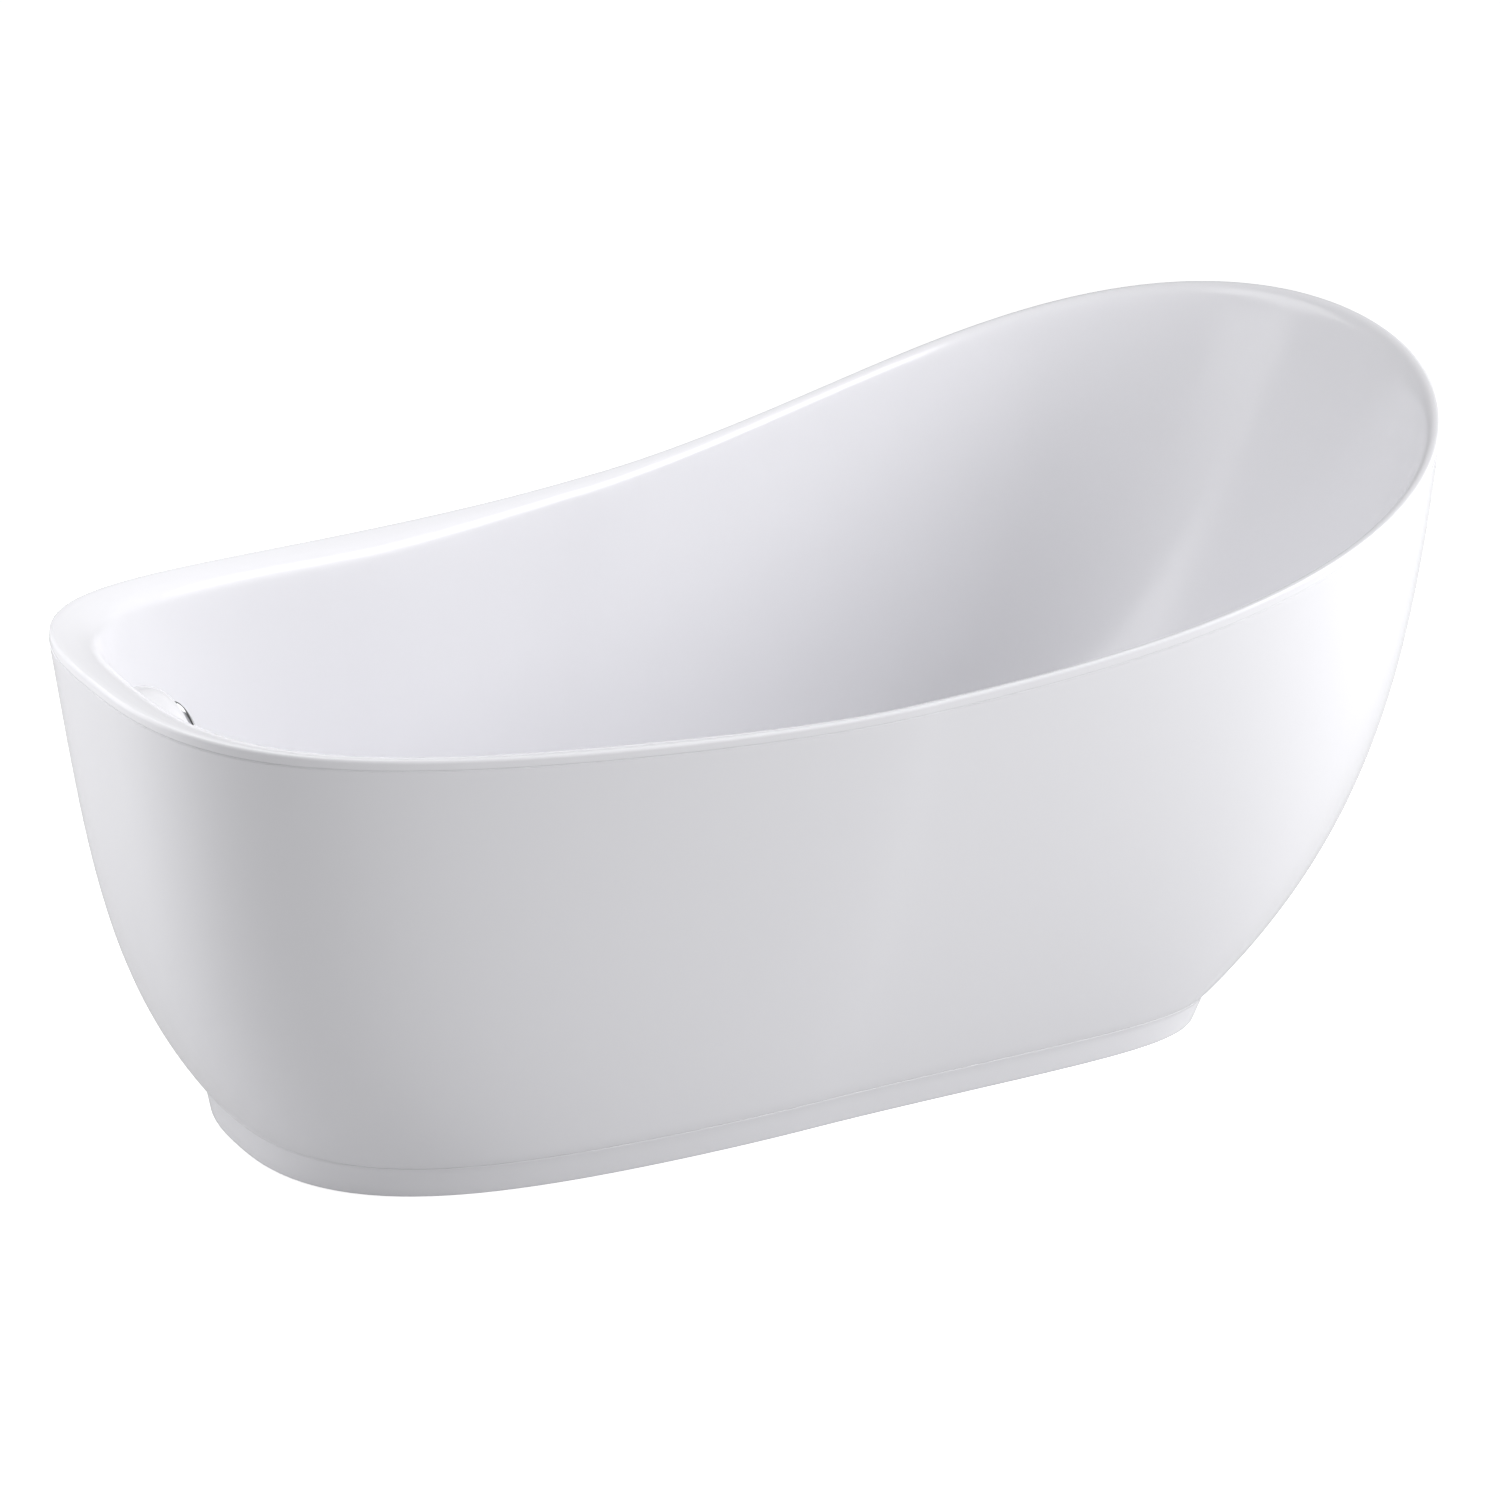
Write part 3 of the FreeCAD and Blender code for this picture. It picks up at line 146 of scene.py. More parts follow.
# The recess round the drain, from the floor inwards, each step with its radius and its depth:
RECESS_STEPS = [(RECESS_RADIUS + 0.0015, 0.0), (RECESS_RADIUS + 0.0004, 0.0004), (RECESS_RADIUS, 0.0012),
                (RECESS_RADIUS, RECESS_DEPTH), (DRAIN_RADIUS, RECESS_DEPTH), (DRAIN_RADIUS, BASIN_WALL)]

# ---- Mesh fineness ----
HALF_STATIONS = 220
WALL_ROWS = 190
FINENESS = 7.0               # how much closer the mesh lines are round the boss
SAMPLES = 2000
LIP_TURN_STEP = 15           # degrees between the rows of the lip's rounding
FLOOR_SHARES = (0.08, 0.2, 0.35, 0.5, 0.65, 0.78, 0.9, 0.97)
UNDER_SHARES = (0.35, 0.7)
BASIN_DRY_STEP = 3           # the dry side keeps every third row of the basin
SKIRT_DRY_STEP = 4           # and every fourth row of the skirt
SKIRT_ROWS = 60
SKIRT_GRADING = 1.25         # above 1, the skirt's rows are closer together near the plinth
COVE_ROWS = 10
COVE_MIDDLE = COVE_ROWS // 2
PLINTH_SHARES = (0.8, 0.6, 0.4, 0.2)


# ---- Outlines ----
def superellipse(angle, low_x, high_x, half_width, foot_power, head_power, egg, waist):
    """A point of a plan outline; the angle is 0 at the head and pi at the foot."""
    c = math.cos(angle)
    s = math.sin(angle)
    power = 2.0 / (foot_power + (head_power - foot_power) * 0.5 * (1.0 + c))
    x = (low_x + high_x) / 2 + math.copysign((high_x - low_x) / 2 * abs(c) ** power, c)
    fullness = 1.0 + egg * c + waist * math.cos(2.0 * angle)
    y = math.copysign(half_width * fullness * abs(s) ** power, s)
    return Vector((x, y, 0))


def rim_plan(angle):
    return superellipse(angle, -RIM_LENGTH / 2, RIM_LENGTH / 2, RIM_HALF_WIDTH,
                        RIM_FOOT_SQUARENESS, RIM_HEAD_SQUARENESS, RIM_EGG, RIM_WAIST)


def base_plan(angle):
    return superellipse(angle, BASE_FOOT_INSET - RIM_LENGTH / 2, RIM_LENGTH / 2 - BASE_HEAD_INSET,
                        BASE_HALF_WIDTH, BASE_FOOT_SQUARENESS, BASE_HEAD_SQUARENESS, BASE_EGG, BASE_WAIST)


def floor_plan(angle):
    return superellipse(angle, FLOOR_FOOT_INSET - RIM_LENGTH / 2, RIM_LENGTH / 2 - FLOOR_HEAD_INSET,
                        FLOOR_HALF_WIDTH, FLOOR_SQUARENESS, FLOOR_SQUARENESS, FLOOR_EGG, 0.0)


def rim_height(x):
    """Height of the rim's top along the tub: level at its low point, rising to both ends."""
    half = RIM_LENGTH / 2
    to_head = max(0.0, (x - RIM_LOW_X) / (half - RIM_LOW_X))
    to_foot = max(0.0, (RIM_LOW_X - x) / (half + RIM_LOW_X))
    return RIM_LOW_HEIGHT + HEAD_RISE * to_head ** HEAD_RISE_POWER + FOOT_RISE * to_foot ** FOOT_RISE_POWER


def graded(place, is_fine, count):
    """Count + 1 shares from 0 to 1, evenly spaced along a path and closer together where it is fine."""
    travelled = [0.0]
    previous = place(0.0)
    for i in range(1, SAMPLES + 1):
        here = place(i / SAMPLES)
        step = (here - previous).length
        travelled.append(travelled[-1] + step * (FINENESS if is_fine(here) else 1.0))
        previous = here
    steps = [0.0]
    at = 0
    for i in range(1, count):
        wanted = travelled[-1] * i / count
        while travelled[at + 1] < wanted:
            at += 1
        part = (wanted - travelled[at]) / (travelled[at + 1] - travelled[at])
        steps.append((at + part) / SAMPLES)
    return steps + [1.0]


def station_angles():
    """Angles of the stations all the way round, the same on both sides."""
    def rim_place(share):
        return rim_plan(math.pi * share)

    def by_the_boss(point):
        return point.x < 0 and abs(point.y) < BOSS_REACH

    half = [math.pi * share for share in graded(rim_place, by_the_boss, HALF_STATIONS)]
    return half + [-angle for angle in reversed(half[1:-1])]


def blended(angle, values):
    """The head, foot and side values in the shares that a station has of them."""
    c = math.cos(angle)
    head = max(0.0, c) ** 2
    foot = max(0.0, -c) ** 2
    return head * values[0] + foot * values[1] + (1.0 - head - foot) * values[2]


# ---- Mesh helpers ----
def mesh_object(name, points, faces, smooth=True):
    mesh = bpy.data.meshes.new(name)
    mesh.from_pydata(points, [], faces)
    mesh.validate()
    for polygon in mesh.polygons:
        polygon.use_smooth = smooth
    piece = bpy.data.objects.new(name, mesh)
    bpy.context.scene.collection.objects.link(piece)
    return piece


def ring_faces(row_count, count):
    """Quads between rows of points; each row is closed, and so is the ring of rows."""
    faces = []
    for i in range(row_count):
        a = i * count
        b = (i + 1) % row_count * count
        for j in range(count):
            k = (j + 1) % count
            faces.append((a + j, a + k, b + k, b + j))
    return faces


def shell_object(name, rows):
    """A closed shell whose section is the ring of rows."""
    points = [p for row in rows for p in row]
    piece = mesh_object(name, points, ring_faces(len(rows), len(rows[0])))
    outward_normals(piece)
    return piece


def mark_dry_side(shell, first_point):
    """Gives the shell's second material to the faces from a point on."""
    for polygon in shell.data.polygons:
        if polygon.vertices[0] >= first_point:
            polygon.material_index = 1


def outward_normals(piece):
    work = bmesh.new()
    work.from_mesh(piece.data)
    bmesh.ops.recalc_face_normals(work, faces=work.faces)
    if work.calc_volume(signed=True) < 0:
        bmesh.ops.reverse_faces(work, faces=work.faces)
    work.to_mesh(piece.data)
    work.free()


def offset_rows(rows, distance):
    """The rows moved along their normals: inwards for rows that run down, outwards for rows that run up."""
    moved = []
    count = len(rows[0])
    for i, row in enumerate(rows):
        following = rows[min(i + 1, len(rows) - 1)]
        previous = rows[max(i - 1, 0)]
        shifted = []
        for j, point in enumerate(row):
            along = row[(j + 1) % count] - row[j - 1]
            normal = along.cross(following[j] - previous[j]).normalized()
            shifted.append(point + normal * distance)
        moved.append(shifted)
    return moved


def inset_row(row, inset):
    """A level row moved inwards in its own plane; the inset may differ from station to station."""
    count = len(row)
    moved = []
    for j, point in enumerate(row):
        along = row[(j + 1) % count] - row[j - 1]
        along.z = 0
        moved.append(point + UP.cross(along).normalized() * inset[j])
    return moved


def turned(name, profile, origin, axis, segments=96):
    """A solid turned from a profile of (radius, height) points that starts and ends on its axis."""
    across = axis.orthogonal().normalized()
    beside = axis.cross(across).normalized()
    points = []
    rings = []
    for radius, height in profile:
        start = len(points)
        count = 1 if radius == 0 else segments
        for k in range(count):
            turn = 2 * math.pi * k / segments
            spoke = across * math.cos(turn) + beside * math.sin(turn)
            points.append(origin + axis * height + spoke * radius)
        rings.append((start, count))
    faces = []
    for (a, a_count), (b, b_count) in zip(rings, rings[1:]):
        for k in range(segments):
            n = (k + 1) % segments
            if a_count == 1:
                faces.append((a, b + k, b + n))
            elif b_count == 1:
                faces.append((a + k, b, a + n))
            else:
                faces.append((a + k, b + k, b + n, a + n))
    piece = mesh_object(name, points, faces)
    outward_normals(piece)
    return piece


# ---- Basin ----
def spline_weights(t):
    """Weights of a clamped cubic spline's seven control points at t from 0 to 1."""
    knots = [0, 0, 0, 0, 1, 2, 3, 4, 4, 4, 4]
    u = min(t, 1.0 - 1e-9) * 4.0

    def basis(i, k):
        if k == 0:
            return 1.0 if knots[i] <= u < knots[i + 1] else 0.0
        left = right = 0.0
        if knots[i + k] > knots[i]:
            left = (u - knots[i]) / (knots[i + k] - knots[i]) * basis(i, k - 1)
        if knots[i + k + 1] > knots[i + 1]:
            right = (knots[i + k + 1] - u) / (knots[i + k + 1] - knots[i + 1]) * basis(i + 1, k - 1)
        return left + right

    return [basis(i, 3) for i in range(7)]


def inwards_point(angle, inwards, drop):
    """A point some way in from the rim's outline, towards the floor's, and below the rim's top."""
    rim = rim_plan(angle)
    floor = floor_plan(angle)
    share = inwards / (floor - rim).length
    point = rim + (floor - rim) * share
    point.z = rim_height(rim.x) - drop
    return point


def inside_point(angle, weights):
    """A point of the basin's inner face, from the lip's top down the wall to the floor."""
    rim = rim_plan(angle)
    across = (floor_plan(angle) - rim).length
    depth = rim_height(rim.x) - FLOOR_HEIGHT
    deck = blended(angle, DECK_WIDTH)
    fall = deck * DECK_SLOPE
    run = across - deck
    profile = [
        (LIP_ROUND, 0.0),
        (deck * DECK_BEND[0], fall * DECK_BEND[1]),
        (deck, fall),
        (deck + run * blended(angle, SHOULDER_REACH), depth * SHOULDER_DEPTH),
        (deck + run * blended(angle, WALL_REACH), depth * WALL_DEPTH),
        (deck + run * blended(angle, FLOOR_BEND_REACH), depth),
        (across, depth),
    ]
    inwards = sum(w * p[0] for w, p in zip(weights, profile))
    drop = sum(w * p[1] for w, p in zip(weights, profile))
    return inwards_point(angle, inwards, drop)


def smooth_max(a, b, width):
    blend = max(width - abs(a - b), 0.0) / width
    return max(a, b) + blend * blend * width / 4


def with_boss(point):
    """The wall's point, moved out along the overflow's axis where the boss stands proud of the wall."""
    offset = point - FACE_CENTRE
    height = offset.dot(FACE)
    radius = (offset - FACE * height).length
    if radius > BOSS_REACH or point.x > FACE_CENTRE.x + BOSS_EDGE:
        return point
    beyond = max(0.0, radius - BOSS_FACE_RADIUS) / BOSS_EDGE
    if beyond < 1.0:
        top = -BOSS_EDGE_DEPTH * (1.0 - math.sqrt(1.0 - beyond * beyond))
    else:
        top = -BOSS_EDGE_DEPTH - (beyond - 1.0) * BOSS_EDGE * BOSS_SIDE_SLOPE
    return point + FACE * (smooth_max(height, top, BOSS_FILLET) - height)


def drain_row(angles, radius, z):
    """A row round the drain; each point faces the floor outline's point of the same station."""
    centre = Vector((DRAIN_X, 0, 0))
    row = []
    for angle in angles:
        outwards = (floor_plan(angle) - centre).normalized()
        point = centre + outwards * radius
        point.z = z
        row.append(point)
    return row


def between(row_a, row_b, share):
    return [a.lerp(b, share) for a, b in zip(row_a, row_b)]


def dry_rows(inside, lip_in):
    """Rows a wall's thickness behind the inner face, starting below the lip's inner edge."""
    rows = offset_rows(inside, -BASIN_WALL)
    first = 0
    while min(a.z - b.z for a, b in zip(lip_in, rows[first])) <= BASIN_WALL / 3:
        first += 1
    rows = rows[first::BASIN_DRY_STEP]
    for row in rows:
        for point in row:
            point.z = max(point.z, FLOOR_HEIGHT - BASIN_WALL)
    return rows


def make_basin(angles):
    """The inner shell: lip, deck, boss, wall and floor with its drain, and the rough dry side."""
    def foot_line(share):
        return inside_point(math.pi, spline_weights(share))

    def by_the_boss(point):
        return (point - FACE_CENTRE).length < BOSS_REACH

    steps = graded(foot_line, by_the_boss, WALL_ROWS)
    inside = [[with_boss(inside_point(a, weights)) for a in angles] for weights in map(spline_weights, steps)]
    rounding = []
    for degrees in range(0, 90, LIP_TURN_STEP):
        turn = math.radians(degrees)
        inset = LIP_ROUND * (1 - math.cos(turn))
        drop = LIP_ROUND * (1 - math.sin(turn))
        rounding.append([inwards_point(a, inset, drop) for a in angles])
    lip_under = [inwards_point(a, LIP_UNDER_ROUND, LIP_HEIGHT) for a in angles]
    lip_side = [inwards_point(a, 0.0, LIP_HEIGHT - LIP_UNDER_ROUND) for a in angles]
    lip_face = [between(lip_side, rounding[0], share) for share in LIP_SIDE_SHARES]
    lip_in = [inwards_point(a, LIP_WIDTH, LIP_HEIGHT) for a in angles]

    recess = [drain_row(angles, radius, FLOOR_HEIGHT - depth) for radius, depth in RECESS_STEPS]
    floor = [between(inside[-1], recess[0], share) for share in FLOOR_SHARES]
    dry = dry_rows(inside, lip_in)
    under = [between(recess[-1], dry[-1], share) for share in UNDER_SHARES]
    wet = [lip_under, lip_side] + lip_face + rounding + inside + floor + recess
    basin = shell_object("basin_shell", wet + under + dry[::-1] + [lip_in])
    mark_dry_side(basin, (len(wet) - 1) * len(angles))
    return basin


def make_bead(angles):
    """The sealing bead between the lip and the skirt's top edge, almost flush with both."""
    low = LIP_HEIGHT + BOND_GAP - BEAD_PLAY
    high = LIP_HEIGHT + BEAD_PLAY
    places = [(BEAD_INSET, low), (BEAD_INSET, high), (SKIRT_WALL, high), (SKIRT_WALL, low)]
    rows = [[inwards_point(a, inset, drop) for a in angles] for inset, drop in places]
    return shell_object("rim_bead", rows)


# ---- Skirt and plinth ----
def skirt_top(angle):
    return rim_height(rim_plan(angle).x) - LIP_HEIGHT - BOND_GAP


def skirt_point(angle, z):
    """A point of the skirt's outer face at a height."""
    rim = rim_plan(angle)
    base = base_plan(angle)
    share = (z - PLINTH_HEIGHT) / (skirt_top(angle) - PLINTH_HEIGHT)
    square, fourth = (blended(angle, values) for values in zip(HEAD_BULGE, FOOT_BULGE, SIDE_BULGE))
    rest = 1.0 - share
    reach = square * (1 - rest ** 2) + fourth * (1 - rest ** 4) + (1 - square - fourth) * share
    point = base + (rim - base) * reach
    point.z = z
    return point


def plinth_row(angles, z):
    """The plinth's outer outline at a height; it tapers down to the floor."""
    inset = PLINTH_SETBACK + (PLINTH_TOP_SETBACK - PLINTH_SETBACK) * z / PLINTH_HEIGHT
    row = [base_plan(a) for a in angles]
    for point in row:
        point.z = z
    return inset_row(row, [inset] * len(row))


def cove_rows(angles):
    """Rows of the soft turn from the skirt down into the plinth, from top to bottom."""
    depths = [blended(a, (COVE_END, COVE_END, COVE_SIDE)) for a in angles]
    high = [skirt_point(a, PLINTH_HEIGHT + d) for a, d in zip(angles, depths)]
    higher = [skirt_point(a, PLINTH_HEIGHT + d + COVE_NUDGE) for a, d in zip(angles, depths)]
    plinth_low_row = plinth_row(angles, 0.0)
    plinth_high_row = plinth_row(angles, PLINTH_HEIGHT)
    rows = []
    for i in range(COVE_ROWS + 1):
        s = i / COVE_ROWS
        row = []
        for j, depth in enumerate(depths):
            drop = 2 * depth
            low = plinth_low_row[j].lerp(plinth_high_row[j], 1 - depth / PLINTH_HEIGHT)
            slope_high = (high[j] - higher[j]) / COVE_NUDGE * drop
            slope_low = (plinth_low_row[j] - plinth_high_row[j]) / PLINTH_HEIGHT * drop
            point = (high[j] * (2 * s ** 3 - 3 * s ** 2 + 1) + slope_high * (s ** 3 - 2 * s ** 2 + s)
                     + low * (3 * s ** 2 - 2 * s ** 3) + slope_low * (s ** 3 - s ** 2))
            point.z = PLINTH_HEIGHT + depth - drop * s
            row.append(point)
        rows.append(row)
    return rows


def seam_rows(angles, edge, beyond):
    """Rows that round an edge at the seam: two behind it and one on the face towards the row beyond."""
    rounding = [blended(a, SEAM) for a in angles]
    rows = [inset_row(edge, [share * r for r in rounding]) for share in SEAM_INSETS]
    return rows + [between(edge, beyond, SEAM_FACE_SHARE)]


def make_skirt(angles, cove):
    """The outer shell, from the seam on the plinth up to the lip."""
    edge = cove[COVE_MIDDLE]
    seam = seam_rows(angles, edge, cove[COVE_MIDDLE - 1])
    outer = seam + cove[COVE_MIDDLE - 1::-1]
    shares = [(i / SKIRT_ROWS) ** SKIRT_GRADING for i in range(1, SKIRT_ROWS)]
    for share in shares + [1.0 - SKIRT_EDGE_SHARE, 1.0]:
        row = []
        for angle, start in zip(angles, cove[0]):
            row.append(skirt_point(angle, start.z + (skirt_top(angle) - start.z) * share))
        outer.append(row)
    inner = offset_rows(outer[len(seam):], -SKIRT_WALL)
    for point, rim in zip(inner[-1], outer[-1]):
        point.z = rim.z
    foot = inset_row(edge, [SKIRT_FOOT_WALL] * len(edge))
    skirt = shell_object("skirt_shell", outer + inner[::-SKIRT_DRY_STEP] + [foot])
    mark_dry_side(skirt, len(outer) * len(angles))
    return skirt


def make_plinth(angles, cove):
    """The plinth band: a tapering wall with an inward flange on top."""
    edge = [p - UP * PLINTH_PLAY for p in cove[COVE_MIDDLE]]
    outer = seam_rows(angles, edge, cove[COVE_MIDDLE + 1]) + cove[COVE_MIDDLE + 1:]
    cove_end = min(p.z for p in cove[-1])
    outer += [plinth_row(angles, cove_end * share) for share in PLINTH_SHARES]
    outer.append(plinth_row(angles, PLINTH_UNDER_ROUND))
    bottom = inset_row(plinth_row(angles, 0.0), [PLINTH_UNDER_INSET] * len(angles))
    base = [base_plan(a) for a in angles]

    def level(inset, z):
        row = inset_row(base, [inset] * len(base))
        return [Vector((p.x, p.y, z)) for p in row]

    wall_in = PLINTH_SETBACK + PLINTH_WALL
    flange_in = wall_in + PLINTH_FLANGE
    flange_under = PLINTH_HEIGHT - PLINTH_FLANGE_THICKNESS
    inner = [level(PLINTH_SETBACK + PLINTH_BOTTOM_INSET, 0.0), level(wall_in, 0.0),
             level(wall_in, flange_under), level(flange_in, flange_under),
             level(flange_in, PLINTH_HEIGHT - PLINTH_PLAY)]
    return shell_object("plinth_shell", outer + [bottom] + inner)


# ---- Nodes ----
def feed(tree, node, **values):
    """Links or sets inputs, each by its name with _ for a space, or by its number after an i."""
    for label, value in values.items():
        numbered = label[0] == "i" and label[1:].isdigit()
        socket = node.inputs[int(label[1:]) if numbered else label.replace("_", " ")]
        if isinstance(value, bpy.types.NodeSocket):
            tree.links.new(value, socket)
        else:
            socket.default_value = value


def add(tree, kind, settings=None, **inputs):
    """A node with its settings made and its inputs fed."""
    node = tree.nodes.new(kind)
    for key, value in (settings or {}).items():
        setattr(node, key, value)
    feed(tree, node, **inputs)
    return node


def object_place(tree):
    return add(tree, "ShaderNodeTexCoord").outputs["Object"]


def noise(tree, place, scale, detail, **more):
    node = add(tree, "ShaderNodeTexNoise", Vector=place, Scale=scale, Detail=detail, **more)
    return node.outputs["Fac"]


def cells(tree, place, scale, **settings):
    return add(tree, "ShaderNodeTexVoronoi", settings, Vector=place, Scale=scale)


def channel(tree, colour, name):
    return add(tree, "ShaderNodeSeparateColor", Color=colour).outputs[name]


def maths(tree, operation, a, b=0.0, clamp=False):
    node = add(tree, "ShaderNodeMath", {"operation": operation, "use_clamp": clamp}, i0=a, i1=b)
    return node.outputs[0]


def spread(tree, value, low, high, to_low, to_high):
    node = add(tree, "ShaderNodeMapRange", Value=value, From_Min=low, From_Max=high, To_Min=to_low,
               To_Max=to_high)
    return node.outputs["Result"]


def mixed_colour(tree, share, first, second):
    node = add(tree, "ShaderNodeMix", {"data_type": "RGBA"}, i0=share, i6=first, i7=second)
    return node.outputs[2]


def bumped(tree, height, strength, distance):
    node = add(tree, "ShaderNodeBump", Strength=strength, Distance=distance, Height=height)
    return node.outputs["Normal"]


# ---- Shared effects, as node groups ----
def effect_group(name, inputs, outputs):
    """An empty effect with named inputs (label, kind, value) and outputs (label, kind)."""
    group = bpy.data.node_groups.new(name, "ShaderNodeTree")
    for label, kind, value in inputs:
        group.interface.new_socket(label, in_out="INPUT", socket_type=kind).default_value = value
    for label, kind in outputs:
        group.interface.new_socket(label, in_out="OUTPUT", socket_type=kind)
    entry = group.nodes.new("NodeGroupInput")
    result = group.nodes.new("NodeGroupOutput")
    return group, entry.outputs, result


def ripple_effect():
    """The faint waviness that a polished sheet keeps from its mould, and fine polishing haze."""
    group, given, result = effect_group(
        "polish_ripple",
        [("Ripple Size", "NodeSocketFloat", 0.03), ("Ripple Height", "NodeSocketFloat", 0.05),
         ("Roughness", "NodeSocketFloat", 0.1), ("Haze", "NodeSocketFloat", 0.03)],
        [("Normal", "NodeSocketVector"), ("Roughness", "NodeSocketFloat")])
    place = object_place(group)
    wave = noise(group, place, maths(group, "DIVIDE", 1.0, given["Ripple Size"]), 2.0, Roughness=0.4)
    cloud = noise(group, place, 9.0, 5.0, Roughness=0.65)
    haze = maths(group, "MULTIPLY", spread(group, cloud, 0.3, 0.7, -1.0, 1.0), given["Haze"])
    feed(group, result, Normal=bumped(group, wave, given["Ripple Height"], 0.0004),
         Roughness=maths(group, "ADD", given["Roughness"], haze, clamp=True))
    return group


def grain_effect():
    """A fine moulded or sprayed grain: its bump and a little unevenness of colour."""
    group, given, result = effect_group(
        "surface_grain",
        [("Grain Size", "NodeSocketFloat", 0.0008), ("Grain Height", "NodeSocketFloat", 0.3),
         ("Colour", "NodeSocketColor", (0.8, 0.8, 0.8, 1)),
         ("Dark Colour", "NodeSocketColor", (0.6, 0.6, 0.6, 1)),
         ("Roughness", "NodeSocketFloat", 0.5)],
        [("Color", "NodeSocketColor"), ("Normal", "NodeSocketVector"), ("Roughness", "NodeSocketFloat")])
    place = object_place(group)
    grain = noise(group, place, maths(group, "DIVIDE", 1.0, given["Grain Size"]), 3.0, Roughness=0.6)
    cloud = noise(group, place, 24.0, 6.0, Roughness=0.7)
    share = spread(group, cloud, 0.35, 0.75, 0.0, 1.0)
    unevenness = spread(group, cloud, 0.3, 0.7, -0.06, 0.06)
    feed(group, result, Color=mixed_colour(group, share, given["Colour"], given["Dark Colour"]),
         Normal=bumped(group, grain, given["Grain Height"], 0.0002),
         Roughness=maths(group, "ADD", given["Roughness"], unevenness, clamp=True))
    return group


def dust_effect():
    """Dust that settles on what faces up: mixes a colour towards dust."""
    group, given, result = effect_group(
        "settled_dust",
        [("Colour", "NodeSocketColor", (0.8, 0.8, 0.8, 1)),
         ("Dust Colour", "NodeSocketColor", (0.55, 0.53, 0.5, 1)),
         ("Amount", "NodeSocketFloat", 0.3)],
        [("Color", "NodeSocketColor")])
    normal = add(group, "ShaderNodeNewGeometry").outputs["Normal"]
    height = add(group, "ShaderNodeSeparateXYZ", Vector=normal).outputs["Z"]
    upward = spread(group, height, 0.2, 1.0, 0.0, 1.0)
    specks = spread(group, noise(group, object_place(group), 180.0, 6.0, Roughness=0.75), 0.4, 0.7, 0.2, 1.0)
    mask = maths(group, "MULTIPLY", maths(group, "MULTIPLY", upward, specks), given["Amount"], clamp=True)
    feed(group, result, Color=mixed_colour(group, mask, given["Colour"], given["Dust Colour"]))
    return group


RIPPLE = ripple_effect()
GRAIN = grain_effect()
DUST = dust_effect()


# ---- Materials ----
def new_material(name, **settings):
    """A material with only its shader, and the shader's plain settings."""
    material = bpy.data.materials.new(name)
    material.use_nodes = True
    tree = material.node_tree
    tree.nodes.clear()
    shader = add(tree, "ShaderNodeBsdfPrincipled", **settings)
    add(tree, "ShaderNodeOutputMaterial", Surface=shader.outputs["BSDF"])
    return material, tree, shader


def effect(tree, group, **inputs):
    """The outputs of a shared effect placed in a material."""
    return add(tree, "ShaderNodeGroup", {"node_tree": group}, **inputs).outputs


def acrylic_material():
    """Polished white acrylic sheet, with the faint ripple and haze that show only in reflections."""
    material, tree, shader = new_material("white_acrylic", IOR=1.49)
    polish = effect(tree, RIPPLE, Ripple_Size=0.09, Ripple_Height=0.03, Roughness=0.19, Haze=0.02)
    tint = noise(tree, object_place(tree), 2.5, 3.0)
    colour = mixed_colour(tree, tint, (0.850, 0.848, 0.882, 1), (0.865, 0.863, 0.892, 1))
    feed(tree, shader, Base_Color=colour, Normal=polish["Normal"], Roughness=polish["Roughness"])
    return material


def laminate_material():
    """Glass-fibre and resin sprayed on the dry side of the acrylic: short strands in a milky, uneven coat."""
    material, tree, shader = new_material("glass_fibre_laminate", IOR=1.52)
    place = object_place(tree)
    strands = cells(tree, place, 95.0, feature="DISTANCE_TO_EDGE").outputs["Distance"]
    stretched = add(tree, "ShaderNodeVectorMath", {"operation": "MULTIPLY"}, i0=place, i1=(260.0, 60.0, 60.0))
    fibres = noise(tree, stretched.outputs[0], 1.0, 5.0, Distortion=2.5)
    height = maths(tree, "ADD", fibres, maths(tree, "MULTIPLY", strands, 0.8))
    share = spread(tree, fibres, 0.35, 0.65, 0.0, 1.0)
    feed(tree, shader, Base_Color=mixed_colour(tree, share, (0.60, 0.57, 0.47, 1), (0.78, 0.77, 0.70, 1)),
         Normal=bumped(tree, height, 0.8, 0.0012), Roughness=spread(tree, fibres, 0.3, 0.7, 0.25, 0.6))
    return material


def chrome_material():
    """Chrome plate with a few fine wiping marks; its colour is darker than real chrome, as painted shade for
    the dark reflections it shows.
    """
    material, tree, shader = new_material("chrome_plate", Metallic=1.0)
    marks = noise(tree, object_place(tree), 320.0, 4.0, Distortion=1.5)
    # Painted shade: these grey base colours are darkened to stand in for the dark surroundings that the
    # chrome reflects.
    colour = mixed_colour(tree, marks, (0.38, 0.385, 0.395, 1), (0.48, 0.485, 0.495, 1))
    feed(tree, shader, Base_Color=colour, Roughness=spread(tree, marks, 0.4, 0.75, 0.04, 0.12))
    return material


def grained_material(name, colour, dark, roughness, grain_size, grain_height, dust=0.0, **settings):
    """A grained plastic, rubber, coat or adhesive, with settled dust where it faces up."""
    material, tree, shader = new_material(name, **settings)
    grain = effect(tree, GRAIN, Grain_Size=grain_size, Grain_Height=grain_height, Colour=(*colour, 1),
                   Dark_Colour=(*dark, 1), Roughness=roughness)
    dusty = effect(tree, DUST, Colour=grain["Color"], Amount=dust)
    feed(tree, shader, Base_Color=dusty["Color"], Normal=grain["Normal"], Roughness=grain["Roughness"])
    return material


